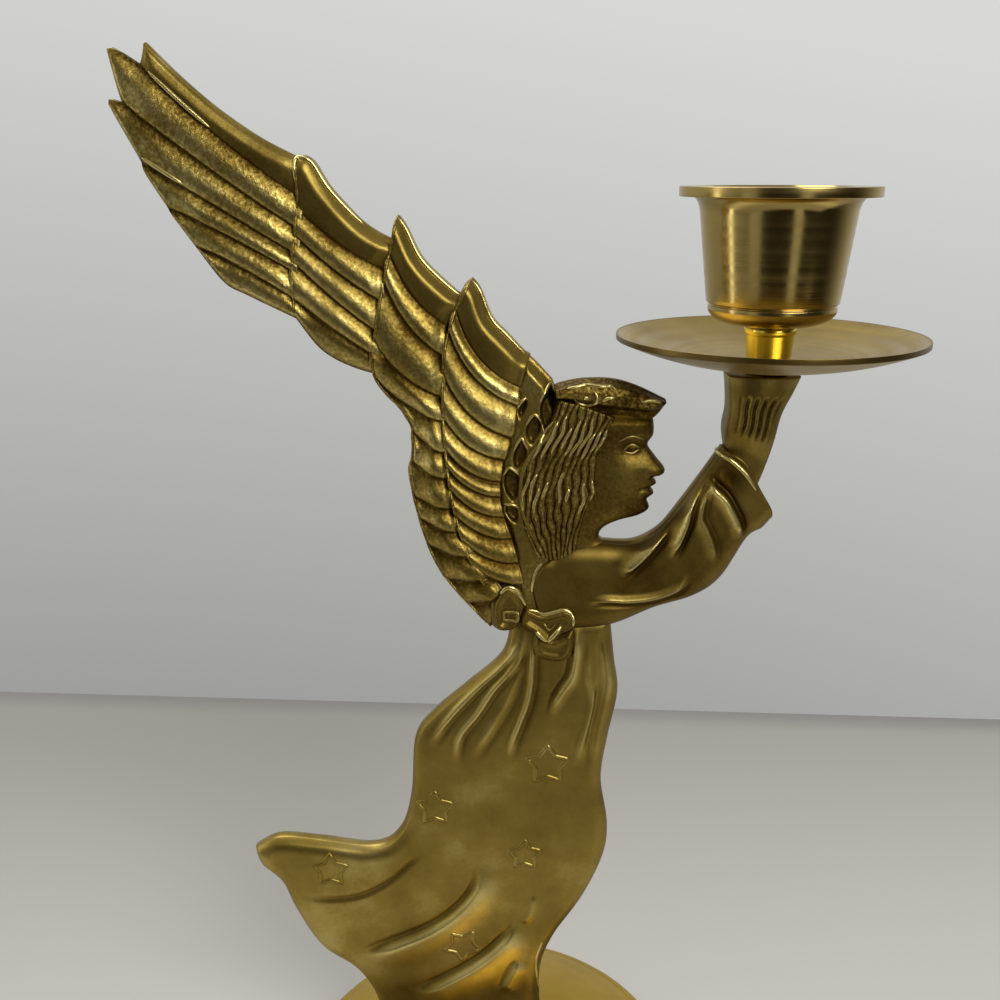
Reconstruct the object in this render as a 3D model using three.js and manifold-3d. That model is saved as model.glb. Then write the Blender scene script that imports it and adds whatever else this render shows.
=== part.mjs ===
// Angel candlestick in brass: a cast angel with a raised wing stands on a turned base and holds up
// a drip pan and a candle cup. Millimetres, +Z up. The flat casting lies in the XZ plane and faces +X.
import * as THREE from 'three';
import { mergeVertices } from 'three/addons/utils/BufferGeometryUtils.js';
import Module from 'manifold-3d';

const wasm = await Module();
wasm.setup();

// Base, turned from a casting and hollowed underneath
const baseRadius = 37.5;
const baseRimHeight = 4.6;
const baseCrownHeight = 8;
const baseSeatRadius = 10;
const baseFootWidth = 3.6;
const baseRecessDepth = 2;
const baseFloorThickness = 3.4;

// Screws, washer and the gap between pieces that touch
const screwRadius = 2;
const screwHoleClearance = 0.3;
const screwHeadRadius = 3.9;
const screwHeadHeight = 2.4;
const screwSlotWidth = 1.1;
const screwSlotDepth = 1.1;
const screwPoint = 0.4;
const washerRadius = 5;
const washerThickness = 0.8;
const seatGap = 0.3;
const footScrewGrip = 9;
const handScrewGrip = 8;
const screwEndGap = 0.6;

// Figure: heights are measured up from the crown of the base, and x from the axis of the base
const cupReach = 46.6;
const handTopHeight = 136.4;
const waistHeight = 93.5;
const trainReach = 43.2;
const shoulderReach = 7;
const shoulderRise = 6.5;
const wingLength = 104.8;
const crownRise = 42.9;
const headHeight = 24;
const faceFront = 28;
const plateEdgeHalf = 1;
const featherRise = 0.75;
const foldRise = 0.7;
const starRise = 0.5;
const starOutlineWidth = 1.1;
const gownCrown = 1.5;
const faceCrown = 2;
const hairCrown = 1.6;
const capCrown = 2.2;
const shoulderCrown = 1.5;
const sleeveCrown = 3.2;
const bowEdgeHalf = 2.6;
const bowCrown = 1.8;
const handHalf = 4.4;
const handRounding = 2.8;
const footBoss = 1.4;
const footSwell = 1.6;

// Drip pan, its collar, the neck and the candle cup
const collarRadius = 3.6;
const collarHeight = 0.8;
const panRadius = 25;
const panDepth = 4.3;
const panThickness = 0.9;
const panFlatRadius = 7;
const neckRadius = 3.6;
const neckShoulderRadius = 4.1;
const neckHeight = 5.2;
const cupHeight = 21.8;
const cupFloorThickness = 2.4;
const cupBottomRadius = 10.6;
const cupTopRadius = 12.2;
const cupRimRadius = 15.7;
const cupRimThickness = 1.6;
const boreMouthRadius = 11.1;
const boreFloorRadius = 9.3;
const screwRecessRadius = 4.4;
const screwRecessDepth = 0.6;

// Facets around the turned pieces, facets across a feather, and the share of a feather's length that
// is hidden under the next tier
const baseSegments = 32;
const cupSegments = 28;
const smallSegments = 16;
const featherFacets = 3;
const rootLap = 0.06;

const brass = (color, roughness) => new THREE.MeshStandardMaterial({ color, roughness, metalness: 1 });
const castBrass = brass(0x8f7634, 0.42);
const turnedBrass = brass(0xa08a4a, 0.24);
const spunBrass = brass(0xa09052, 0.32);
const polishedBrass = brass(0xb8962c, 0.15);
const screwSteel = brass(0x8c8a84, 0.35);

// Solids and meshes

function toSolid(geometry) {
  const bare = geometry.clone();
  bare.deleteAttribute('normal');
  bare.deleteAttribute('uv');
  const merged = mergeVertices(bare, 1e-4);
  const corners = merged.index.array;
  const triVerts = [];
  for (let i = 0; i < corners.length; i += 3) {
    const [a, b, c] = [corners[i], corners[i + 1], corners[i + 2]];
    if (a !== b && b !== c && c !== a) {
      triVerts.push(a, b, c);
    }
  }
  return new wasm.Manifold(new wasm.Mesh({
    numProp: 3,
    vertProperties: merged.attributes.position.array,
    triVerts: new Uint32Array(triVerts),
  }));
}

function fromSolid(solid) {
  const mesh = solid.getMesh();
  const geometry = new THREE.BufferGeometry();
  geometry.setAttribute('position', new THREE.BufferAttribute(mesh.vertProperties, 3));
  geometry.setIndex(new THREE.BufferAttribute(mesh.triVerts, 1));
  geometry.computeVertexNormals();
  return geometry;
}

// A solid turned about the Z axis from a profile of (radius, height) points.
function turned(profile, segments) {
  const ring = [...profile];
  if (ring[0].x > 0 || ring.at(-1).x > 0) {
    ring.push(ring[0].clone());
  }
  if (THREE.ShapeUtils.area(ring) < 0) {
    ring.reverse();
  }
  return toSolid(new THREE.LatheGeometry(ring, segments).rotateX(Math.PI / 2));
}

function disc(radius, bottom, top, segments) {
  const profile = [[0, bottom], [radius, bottom], [radius, top], [0, top]];
  return turned(profile.map(([r, z]) => new THREE.Vector2(r, z)), segments);
}

function named(name, solid, material) {
  const mesh = new THREE.Mesh(fromSolid(solid), material);
  mesh.name = name;
  return mesh;
}

// Edges of the casting: smooth curves through [x, z] points, run along by a value from 0 to 1

function edge(points) {
  const curve = new THREE.SplineCurve(points.map(([x, z]) => new THREE.Vector2(x, z)));
  return (t) => curve.getPoint(t);
}

// The same curve, shared out by its length among feathers of these widths.
function featherEdge(points, widths) {
  const curve = new THREE.SplineCurve(points.map(([x, z]) => new THREE.Vector2(x, z)));
  const total = widths.reduce((sum, width) => sum + width);
  return (t) => {
    const feather = Math.min(Math.floor(t * widths.length), widths.length - 1);
    const before = widths.slice(0, feather).reduce((sum, width) => sum + width, 0);
    const within = (t * widths.length - feather) * widths[feather];
    return curve.getPointAt(Math.min((before + within) / total, 1));
  };
}

// Blends four edges into a sheet. The top and bottom edges run out from the start edge to the end
// edge (u), and the start and end edges run down from the top edge to the bottom edge (v).
function sheetPoint({ top, bottom, start, end }, u, v) {
  return top(u).multiplyScalar(1 - v)
    .addScaledVector(bottom(u), v)
    .addScaledVector(start(v), 1 - u)
    .addScaledVector(end(v), u)
    .addScaledVector(start(0), -(1 - u) * (1 - v))
    .addScaledVector(start(1), -(1 - u) * v)
    .addScaledVector(end(0), -u * (1 - v))
    .addScaledVector(end(1), -u * v);
}

// A plate in relief on both faces. Its middle plane has the point place(u, v), and half(u, v) is half
// its thickness there.
function reliefPlate(place, half, uSteps, vSteps) {
  const corners = [place(0, 0), place(1, 0), place(1, 1), place(0, 1)];
  const front = THREE.ShapeUtils.area(corners) > 0 ? -1 : 1;
  const positions = [];
  for (const side of [front, -front]) {
    for (let i = 0; i <= uSteps; i++) {
      for (let j = 0; j <= vSteps; j++) {
        const [u, v] = [i / uSteps, j / vSteps];
        const point = place(u, v);
        positions.push(point.x, side * half(u, v), point.y);
      }
    }
  }
  const sheet = (uSteps + 1) * (vSteps + 1);
  const at = (side, i, j) => side * sheet + i * (vSteps + 1) + j;
  const faces = [];
  const quad = (a, b, c, d) => faces.push(a, b, c, a, c, d);
  for (let i = 0; i < uSteps; i++) {
    for (let j = 0; j < vSteps; j++) {
      quad(at(0, i, j), at(0, i + 1, j), at(0, i + 1, j + 1), at(0, i, j + 1));
      quad(at(1, i, j), at(1, i, j + 1), at(1, i + 1, j + 1), at(1, i + 1, j));
    }
    quad(at(0, i, 0), at(1, i, 0), at(1, i + 1, 0), at(0, i + 1, 0));
    quad(at(0, i + 1, vSteps), at(1, i + 1, vSteps), at(1, i, vSteps), at(0, i, vSteps));
  }
  for (let j = 0; j < vSteps; j++) {
    quad(at(0, 0, j + 1), at(1, 0, j + 1), at(1, 0, j), at(0, 0, j));
    quad(at(0, uSteps, j), at(1, uSteps, j), at(1, uSteps, j + 1), at(0, uSteps, j + 1));
  }
  const geometry = new THREE.BufferGeometry();
  geometry.setAttribute('position', new THREE.Float32BufferAttribute(positions, 3));
  geometry.setIndex(faces);
  return toSolid(geometry);
}

// A raised ribbon along a curve, pointed at both ends: a fold, a leaf or a lock of hair.
function ribbon(points, width, edgeHalf, crestHalf, steps = 5) {
  const curve = new THREE.SplineCurve(points.map(([x, z]) => new THREE.Vector2(x, z)));
  const swell = (u) => Math.sin(Math.PI * (0.06 + 0.88 * u));
  const place = (u, v) => {
    const tangent = curve.getTangent(u);
    const across = new THREE.Vector2(-tangent.y, tangent.x);
    return curve.getPoint(u).addScaledVector(across, (0.5 - v) * width * swell(u));
  };
  const half = (u, v) => edgeHalf + (crestHalf - edgeHalf) * swell(u) * (1 - (2 * v - 1) ** 2);
  return reliefPlate(place, half, steps, 2);
}

function joined(solids) {
  return solids.reduce((whole, solid) => whole.add(solid));
}

const fromWaist = (points) => points.map(([x, z]) => [x, waistHeight + z]);

// Wing: four tiers of feathers, each tier lying over the roots of the one further out. Their outlines
// are drawn from the shoulder, and stretched to the length of the wing.

const featherTiers = [
  {
    top: [[-36.2, 70.6], [-41.7, 73.4], [-47.9, 77.6], [-53.2, 82.1], [-58.3, 87.1]],
    bottom: [[-37.2, 45.6], [-45, 49.4], [-48.6, 51.4], [-52.1, 56]],
    roots: [[-36.2, 70.6], [-37.3, 60.2], [-37.9, 53.6], [-37.2, 45.6]],
    tips: [[-58.3, 87.1], [-59.2, 84], [-62.4, 78.6], [-60.2, 69.8], [-56.7, 63], [-52.1, 56]],
    rootWidths: [5.3, 5, 4, 2.9, 4.6, 3.2],
    tipWidths: [3.3, 6.4, 9.1, 7.7, 7.2, 1.3],
    bow: [0.04, -0.045],
    reach: [0, 5.4, 3.6, 0.8, 0.7, 0],
    tipHalf: 1.1,
    rootHalf: 1.9,
    steps: 8,
  },
  {
    top: [[-20.5, 57.5], [-25.7, 60.4], [-31.1, 65.8], [-33.9, 70.2], [-35.9, 70.8]],
    bottom: [[-24.1, 36.4], [-28.3, 37.7], [-31.7, 39.3], [-34.4, 41.5], [-37.8, 46.2]],
    roots: [[-20.5, 57.5], [-23.7, 54], [-23.7, 48.8], [-24.2, 43.7], [-24.1, 36.4]],
    tips: [[-35.9, 70.8], [-36.3, 62.8], [-37.5, 54.7], [-37.8, 46.2]],
    rootWidths: [5, 5.6, 5.3, 4.3, 3],
    tipWidths: [8, 4.1, 4.1, 6, 2.6],
    bow: [0.05, 0],
    reach: [0.8, 0.5, 0.5, 0.5, 0.3],
    tipHalf: 1.7,
    rootHalf: 2.5,
    steps: 7,
  },
  {
    top: [[-9.5, 48.5], [-13, 51.2], [-17.1, 55.3], [-19.4, 60.1], [-20.6, 61.8]],
    bottom: [[-2, -4], [-3.6, -5.4], [-5, -6.8], [-6.2, -8.2]],
    roots: [
      [-9.5, 48.5], [-13.6, 45.6], [-14.2, 35.7], [-13.6, 27.2], [-13.1, 17.9], [-10.8, 8.9], [-2, -4],
    ],
    tips: [
      [-20.6, 61.8], [-23.6, 48.8], [-25.3, 37], [-20.2, 29.9], [-19, 25], [-19.5, 17.5], [-15.3, 3.1],
      [-6.2, -8.2],
    ],
    rootWidths: [5, 4.7, 6.3, 3.7, 4.8, 3.9, 4.7, 3.9, 4.5, 4, 3.7, 2.6],
    tipWidths: [5.3, 4, 9, 5.5, 10, 4.6, 5.6, 3.5, 4.7, 6.4, 5.4, 5.2],
    bow: [0.09, 0.05],
    reach: [0.3, 0.4, 0.4, 0.4, 0.4, 0.4, 0.4, 0.4, 0.4, 0.4, 0.3, 0.2],
    tipHalf: 2.25,
    rootHalf: 3,
    steps: 5,
  },
  {
    top: [[-0.5, 40.2], [-3.4, 43.2], [-5.9, 45.9], [-7.6, 50.2], [-8.9, 52]],
    bottom: [[-0.1, -3], [-1.5, -3.2], [-4, -2.4], [-5.8, -2]],
    roots: [
      [-0.5, 40.2], [-2, 35.7], [-2.4, 28.4], [-3.7, 20.7], [-3.8, 14.6], [-1.8, 6.9], [-0.1, -3],
    ],
    tips: [
      [-8.9, 52], [-11.5, 47.8], [-13.6, 40.4], [-13.9, 31.2], [-13.5, 23.1], [-12.4, 14.5],
      [-9.8, 5.4], [-5.8, -2],
    ],
    rootWidths: [5, 3, 5.3, 3.8, 3.6, 2.5, 3.5, 3.8, 4.3, 3.8, 3.3],
    tipWidths: [5.1, 3.6, 6.8, 7.3, 5.1, 3.1, 3.7, 4.6, 4.6, 4.4, 6.8],
    bow: [0.12, 0.1],
    reach: Array(11).fill(0.3),
    tipHalf: 2.75,
    rootHalf: 3.4,
    steps: 5,
  },
];
const wingTip = featherTiers[0].tips[0];
const wingStretch = wingLength / Math.hypot(...wingTip);
const onWing = (points) => points.map(([x, z]) => [
  shoulderReach + x * wingStretch, waistHeight + shoulderRise + z * wingStretch,
]);

// A tier is one sheet, creased into feathers that bow from their roots (u = 0) to their tips (u = 1).
// Each feather is a convex shingle, and its tip reaches out along the hook direction.
function featherTier(tier) {
  const feathers = tier.rootWidths.length;
  const roots = featherEdge(onWing(tier.roots), tier.rootWidths);
  const tips = featherEdge(onWing(tier.tips), tier.tipWidths);
  const [top, bottom] = [edge(onWing(tier.top)), edge(onWing(tier.bottom))];
  const hook = new THREE.Vector2(-0.68, 0.73);
  const tipCrest = 0.3;
  const lapped = (u) => u * (1 + rootLap) - rootLap;
  const within = (v) => {
    const feather = Math.min(Math.floor(v * feathers + 1e-9), feathers - 1);
    return [feather, Math.max(0, v * feathers - feather)];
  };
  const bowed = (u, v) => {
    const [root, tip] = [roots(v), tips(v)];
    const chord = tip.sub(root);
    const across = new THREE.Vector2(-chord.y, chord.x);
    const depth = THREE.MathUtils.lerp(...tier.bow, v) * 4 * u * (1 - u);
    return root.addScaledVector(chord, u).addScaledVector(across, depth);
  };
  const place = (u, v) => {
    const run = lapped(u);
    const shown = Math.max(run, 0);
    const [feather, across] = within(v);
    const lobe = across < tipCrest ? across / tipCrest : (1 - across) / (1 - tipCrest);
    const near = THREE.MathUtils.smoothstep(run, 0.7, 1);
    return bowed(run, v)
      .addScaledVector(top(shown).sub(bowed(shown, 0)), Math.max(0, 1 - v * feathers))
      .addScaledVector(bottom(shown).sub(bowed(shown, 1)), Math.max(0, 1 - (1 - v) * feathers))
      .addScaledVector(hook, tier.reach[feather] * wingStretch * lobe ** 1.2 * near);
  };
  const half = (u, v) => {
    if (v === 0 || v === 1) return plateEdgeHalf;
    const run = Math.max(lapped(u), 0);
    const swell = Math.sin(Math.PI * run ** 0.35);
    const crest = Math.sin(Math.PI * within(v)[1] ** 1.35) * (1 - 0.5 * run ** 6);
    return tier.tipHalf + (tier.rootHalf - tier.tipHalf) * swell + featherRise * crest;
  };
  return reliefPlate(place, half, tier.steps, feathers * featherFacets);
}

// The plate between the roots of the inner feathers and the hair, with small pointed coverts on it.
function shoulderPlate() {
  const sheet = {
    top: edge(fromWaist([[6.5, 46.7], [8.6, 44.7], [11, 42.1]])),
    bottom: edge(fromWaist([[5, -0.5], [9, -2], [12, -2.5]])),
    start: edge(fromWaist([
      [6.5, 46.7], [4.4, 42.2], [4, 34.9], [2.7, 27.2], [2.6, 21.1], [4.6, 13.4], [5, -0.5],
    ])),
    end: edge(fromWaist([[11, 42.1], [14, 31.5], [12, 18.5], [13, 6.5], [12, -2.5]])),
  };
  const half = (u, v) => plateEdgeHalf + shoulderCrown * Math.sin(Math.PI * (0.1 + 0.8 * v)) ** 0.5;
  const leaves = [
    [[10.2, 33.3], [10.6, 37.5], [10.7, 41.6]],
    [[8.4, 31.3], [8.1, 34.4], [8.1, 37.1]],
    [[6, 27.5], [5.9, 30.3], [6.2, 33]],
    [[5.2, 21.9], [4.5, 25.1], [3.9, 27.9]],
    [[5.4, 17], [4.6, 19.5], [3.5, 21.9]],
    [[5.6, 35.1], [5.7, 37.5], [6.4, 39.7]],
  ];
  return joined([
    reliefPlate((u, v) => sheetPoint(sheet, u, v), half, 3, 10),
    ...leaves.map((leaf) => ribbon(fromWaist(leaf), 3, 2, 3.2, 3)),
  ]);
}

// Head and arm: outlines are drawn from the waist

// The face is a plain one in profile, set out by the usual thirds of a head of this height.
function facePlate() {
  const below = (share) => waistHeight + crownRise - share * headHeight;
  const profile = [
    [faceFront - 0.6, below(0.25)], [faceFront, below(0.41)], [faceFront - 0.8, below(0.5)],
    [faceFront + 2, below(0.67)], [faceFront + 0.3, below(0.72)], [faceFront + 0.8, below(0.765)],
    [faceFront, below(0.8)], [faceFront + 0.5, below(0.84)], [faceFront - 0.7, below(0.89)],
    [faceFront - 0.2, below(0.955)], [faceFront - 2.4, below(1)],
  ];
  const throat = fromWaist([[20.9, 18.1], [19.4, 16.5], [20.5, 13]]);
  const outline = [...profile, ...throat];
  const [nape] = fromWaist([[13, 11.5]]);
  const behindBrow = [14, below(0.185)];
  const sheet = {
    top: edge([behindBrow, outline[0]]),
    bottom: edge([nape, outline.at(-1)]),
    start: edge([behindBrow, nape]),
    end: edge(outline),
  };
  const half = (u) => plateEdgeHalf + faceCrown * Math.sqrt(1 - u * u * 0.96);
  return reliefPlate((u, v) => sheetPoint(sheet, u, v), half, 3, 2 * (outline.length - 1));
}

function hair() {
  const strands = 9;
  const sheet = {
    top: edge(fromWaist([
      [12.1, 39.1], [10.6, 34.9], [8.4, 31.8], [6.7, 28.6], [6, 24.9], [5.8, 21.2], [6.5, 17],
      [8.6, 12.1],
    ])),
    bottom: edge(fromWaist([
      [21.4, 36.1], [19.6, 31.8], [18.8, 28.8], [18.6, 25.4], [17.9, 22.3], [16.7, 18.8], [15.5, 13],
    ])),
    start: edge(fromWaist([[12.1, 39.1], [16.6, 37.9], [21.4, 36.1]])),
    end: edge(fromWaist([[8.6, 12.1], [12, 11.7], [15.5, 13]])),
  };
  const half = (u, v) => {
    const roundness = Math.sqrt(1 - (2 * v - 1) ** 2 * 0.9);
    const strand = Math.abs(Math.sin(Math.PI * strands * v));
    return plateEdgeHalf + hairCrown * roundness + 0.5 * strand * (0.4 + 0.6 * Math.sin(Math.PI * u));
  };
  return reliefPlate((u, v) => sheetPoint(sheet, u, v), half, 5, strands * 2);
}

// The cap, a soft band that ends in a point over the brow, with a curl on its side.
function cap() {
  const sheet = {
    top: edge(fromWaist([
      [11.6, 41.4], [13, 41.9], [16.7, 42.7], [21.2, 42.7], [25.3, 41.3], [29.8, 38.7],
    ])),
    bottom: edge(fromWaist([
      [11.9, 38.4], [14.6, 37.5], [17.5, 36.5], [20.4, 35.5], [26.9, 35.5], [29.7, 38],
    ])),
    start: edge(fromWaist([[11.6, 41.4], [11.9, 38.4]])),
    end: edge(fromWaist([[29.8, 38.7], [29.7, 38]])),
  };
  const half = (u, v) => {
    const taper = Math.sqrt(1 - 0.9 * u ** 4);
    return plateEdgeHalf + capCrown * taper * Math.sin(Math.PI * (0.08 + 0.8 * v));
  };
  const band = reliefPlate((u, v) => sheetPoint(sheet, u, v), half, 7, 4);
  const [[x, z]] = fromWaist([[17, 38.9]]);
  const curl = new THREE.SphereGeometry(1, 8, 6).scale(2, plateEdgeHalf + capCrown + 0.5, 1.6);
  return band.add(toSolid(curl.translate(x, 0, z)));
}

const atHand = (dx, dz) => [cupReach + dx, handTopHeight + dz];

function sleeve() {
  const sheet = {
    top: edge([
      ...fromWaist([[11.5, 12.9], [14.5, 14], [19.5, 14.1], [25.3, 14], [29.7, 16.3], [33.1, 20.7]]),
      atHand(-9.9, -16.9), atHand(-6.9, -12.2),
    ]),
    bottom: edge([
      ...fromWaist([[9.5, -2.5], [15, -2], [22.2, -1], [29.3, 2.1], [36.2, 4.4], [40.7, 7.9]]),
      atHand(-1.6, -28), atHand(2.8, -24.4),
    ]),
    start: edge(fromWaist([[11.5, 12.9], [8.6, 10.1], [7.4, 6], [9.5, -2.5]])),
    end: edge([
      atHand(-6.9, -12.2), atHand(-3.2, -14.4), atHand(-0.3, -18.9), atHand(2.3, -22.8),
      atHand(2.8, -24.4),
    ]),
  };
  const half = (u, v) => {
    const shoulder = Math.sqrt(Math.min(1, 0.3 + 4 * u));
    return plateEdgeHalf + sleeveCrown * shoulder * Math.sqrt(1 - (2 * v - 1) ** 2);
  };
  const arm = reliefPlate((u, v) => sheetPoint(sheet, u, v), half, 9, 6);
  const folds = [
    fromWaist([[22.6, 9.3], [27.1, 12.5], [30.6, 17.5]]),
    [...fromWaist([[30.7, 12.2], [33.2, 19]]), atHand(-10.8, -17.8)],
    [atHand(-8.6, -14.8), atHand(-7.5, -18.4), atHand(-5, -23.4), atHand(-3.9, -27.5)],
    [atHand(-10.9, -17.3), atHand(-9, -21.4), atHand(-8, -26.9), atHand(-7.9, -31.1)],
    fromWaist([[17.3, 4.7], [25.9, 4.5], [33, 6.6], [34.6, 10]]),
  ];
  const foldHalf = plateEdgeHalf + sleeveCrown;
  const creases = folds.map((points) => ribbon(points, 3, foldHalf - 1.2, foldHalf + foldRise, 3));
  return joined([arm, ...creases]);
}

function hand() {
  const sheet = {
    top: edge([
      atHand(-5.6, -15.8), atHand(-6.9, -9.8), atHand(-6.5, -5.3), atHand(-6.6, -2.1),
      atHand(-6.7, 0),
    ]),
    bottom: edge([
      atHand(0.6, -20.4), atHand(1.9, -13.9), atHand(2.8, -8.4), atHand(4, -4.9), atHand(5, 0),
    ]),
    start: edge([atHand(-5.6, -15.8), atHand(0.6, -20.4)]),
    end: edge([atHand(-6.7, 0), atHand(5, 0)]),
  };
  const fingers = 5;
  const half = (u, v) => {
    const carved = u > 0.3 && u < 0.8 && v > 0.2 && v < 0.9;
    const groove = carved ? 0.55 * Math.abs(Math.cos(Math.PI * fingers * v)) : 0;
    return handHalf - handRounding * (1 - Math.sqrt(1 - (2 * v - 1) ** 2 * 0.9)) - groove;
  };
  return reliefPlate((u, v) => sheetPoint(sheet, u, v), half, 6, 2 * fingers);
}

// The gown's outlines are drawn up from the crown of the base, and stretched to the waist and the train.
const waistBack = [4.6, 93.5];
const waistFront = [21.7, 93.5];
const gownBack = [
  waistBack, [3.1, 86.5], [-3.7, 80], [-9.2, 75], [-12.7, 69.8], [-13.7, 58.4], [-16, 50.6],
  [-21, 47.1], [-31, 48.3], [-38.8, 49], [-43.2, 46.8],
];
const trainCorner = gownBack.at(-1);
const gownFront = [
  waistFront, [22.6, 85.6], [23.4, 79], [21.8, 69.6], [20.9, 61.4], [22.3, 51.9], [21.6, 45],
  [18, 36.3], [12.6, 27.4], [10.1, 19.6], [12.4, 9], [15.5, -4],
];
const gownHem = [
  trainCorner, [-42.4, 43.6], [-38.7, 39.7], [-36.3, 33.5], [-31.9, 25.5], [-25.8, 20.6],
  [-22.3, 15.4], [-20, 8], [-17, -4], [-1, -5], gownFront.at(-1),
];
const [trainX] = trainCorner;
const [, waistZ] = waistBack;
const onGown = (points) => points.map(([x, z]) => [
  x < 0 ? (-x * trainReach) / trainX : x, (z * waistHeight) / waistZ,
]);

// The gown falls in folds from the waist, is smooth lower down, and thickens round the foot screw and
// over the feet.
function gownHalf(u, v) {
  const folds = 8;
  const { smoothstep } = THREE.MathUtils;
  const feet = smoothstep(v, 0.7, 0.86) * (1 - 0.6 * smoothstep(v, 0.94, 1));
  const foot = (footBoss + footSwell * feet) * smoothstep(u, 0.72, 0.96);
  const crown = gownCrown * (1 - (2 * v - 1) ** 4);
  const ripple = foldRise * Math.sin(Math.PI * folds * v) ** 2 * (1 - smoothstep(u, 0.25, 0.7));
  return plateEdgeHalf + crown + ripple + foot;
}

function gown() {
  const sheet = {
    top: edge(onGown(gownBack)),
    bottom: edge(onGown(gownFront)),
    start: edge(onGown([waistBack, waistFront])),
    end: edge(onGown(gownHem)),
  };
  const skirt = reliefPlate((u, v) => sheetPoint(sheet, u, v), gownHalf, 13, 16);
  const hemFolds = [
    [[-0.7, 44.1], [-2, 38.7], [-5.9, 33.1], [-12.6, 28.6], [-24.7, 21.6]],
    [[6.5, 30.2], [2.7, 25.2], [-3.1, 20.6], [-17, 14.6]],
    [[7.4, 22.8], [2.7, 15.3], [-3, 6]],
  ];
  const crest = plateEdgeHalf + gownCrown + foldRise;
  const creases = hemFolds.map((points) => ribbon(onGown(points), 3.6, crest - 1.4, crest, 4));
  return joined([skirt, ...creases]);
}

function starOutline(radius) {
  const rays = 5;
  const valleyShare = 0.48;
  const outline = [];
  for (let i = 0; i < 2 * rays; i++) {
    const reach = i % 2 ? radius * valleyShare : radius;
    const angle = Math.PI / 2 + (i * Math.PI) / rays;
    outline.push(new THREE.Vector2(reach * Math.cos(angle), reach * Math.sin(angle)));
  }
  return outline;
}

// Stars stand up from the gown, each as a narrow outline.
function stars() {
  const radii = [4, 3.4, 3.9, 3.2, 3.6];
  const places = onGown([[11, 64.6], [-9.5, 55.9], [6.8, 45.2], [-4.2, 27.5], [-29.2, 43.4]]);
  const half = plateEdgeHalf + gownCrown + starRise;
  return places.map(([x, z], index) => {
    const shape = new THREE.Shape(starOutline(radii[index]));
    shape.holes.push(new THREE.Path(starOutline(radii[index] - starOutlineWidth)));
    const geometry = new THREE.ExtrudeGeometry(shape, { depth: 2 * half, bevelEnabled: false });
    return toSolid(geometry.translate(0, 0, -half).rotateX(Math.PI / 2).translate(x, 0, z));
  });
}

// The bow at the back of the waist: a loop on each side, and a short end that hangs from it.
function bow() {
  const loop = (top, bottom, start, end) => {
    const sheet = {
      top: edge(fromWaist(top)),
      bottom: edge(fromWaist(bottom)),
      start: edge(fromWaist([top[0], start, bottom[0]])),
      end: edge(fromWaist([top.at(-1), end, bottom.at(-1)])),
    };
    const round = (share) => Math.sin(Math.PI * (0.05 + 0.9 * share));
    const half = (u, v) => bowEdgeHalf + bowCrown * Math.sqrt(round(u) * round(v));
    return reliefPlate((u, v) => sheetPoint(sheet, u, v), half, 5, 5);
  };
  return joined([
    loop(
      [[1.8, 3.7], [2.9, 5.5], [4.4, 6.6], [6.3, 5.3], [7.3, 3.3]],
      [[1.1, 0.1], [1.4, -1.4], [3.8, -2], [5.9, -1.2], [6.8, 0.3]],
      [1.2, 2], [7.5, 1.7],
    ),
    loop(
      [[6.8, 2.1], [9.3, 2], [11.5, 2.5], [13.4, 2.8], [15.1, 2]],
      [[6.6, -0.9], [8.8, -3], [11.1, -4.1], [13.5, -2.6], [15, -1.2]],
      [6.3, 0.7], [15.7, 0.5],
    ),
    ribbon(fromWaist([[9.6, -2.5], [10.8, -5], [12, -8]]), 5, 2, 4),
  ]);
}

// The dome of the base, from the seat in its middle to the rounded rim.
function domePath(path) {
  path.lineTo(baseSeatRadius, baseCrownHeight);
  path.quadraticCurveTo(baseRadius * 0.7, baseCrownHeight, baseRadius - 2.2, baseRimHeight);
  return path;
}

function seatCutter() {
  const path = domePath(new THREE.Path().moveTo(0, baseCrownHeight));
  path.lineTo(baseRadius, baseRimHeight - 1).lineTo(baseRadius, -baseCrownHeight);
  path.lineTo(0, -baseCrownHeight);
  const profile = path.getPoints(8).map(({ x, y }) => new THREE.Vector2(x, y - baseCrownHeight));
  return turned(profile, baseSegments);
}

function screwHole(x, bottom, top) {
  return disc(screwRadius + screwHoleClearance, bottom, top, smallSegments).translate([x, 0, 0]);
}

function angelFigure() {
  const wing = joined([...featherTiers.map(featherTier), shoulderPlate()]);
  const body = joined([facePlate(), hair(), cap(), sleeve(), hand(), gown(), bow(), ...stars()]);
  return wing.add(body)
    .subtract(seatCutter())
    .subtract(screwHole(0, -baseCrownHeight, footScrewGrip))
    .subtract(screwHole(cupReach, handTopHeight - handScrewGrip, handTopHeight + 1));
}

// Base

const baseFloorHeight = baseCrownHeight - baseFloorThickness;

function base() {
  const bore = screwRadius + screwHoleClearance;
  const path = domePath(new THREE.Path().moveTo(bore, baseCrownHeight));
  path.quadraticCurveTo(baseRadius, baseRimHeight, baseRadius, baseRimHeight / 2);
  path.quadraticCurveTo(baseRadius, 0, baseRadius - 1, 0);
  path.lineTo(baseRadius - baseFootWidth, 0);
  path.lineTo(baseRadius - baseFootWidth - 0.6, baseRecessDepth);
  path.quadraticCurveTo(baseRadius * 0.6, baseFloorHeight, washerRadius + 1, baseFloorHeight);
  path.lineTo(bore, baseFloorHeight);
  return turned(path.getPoints(3), baseSegments);
}

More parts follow.
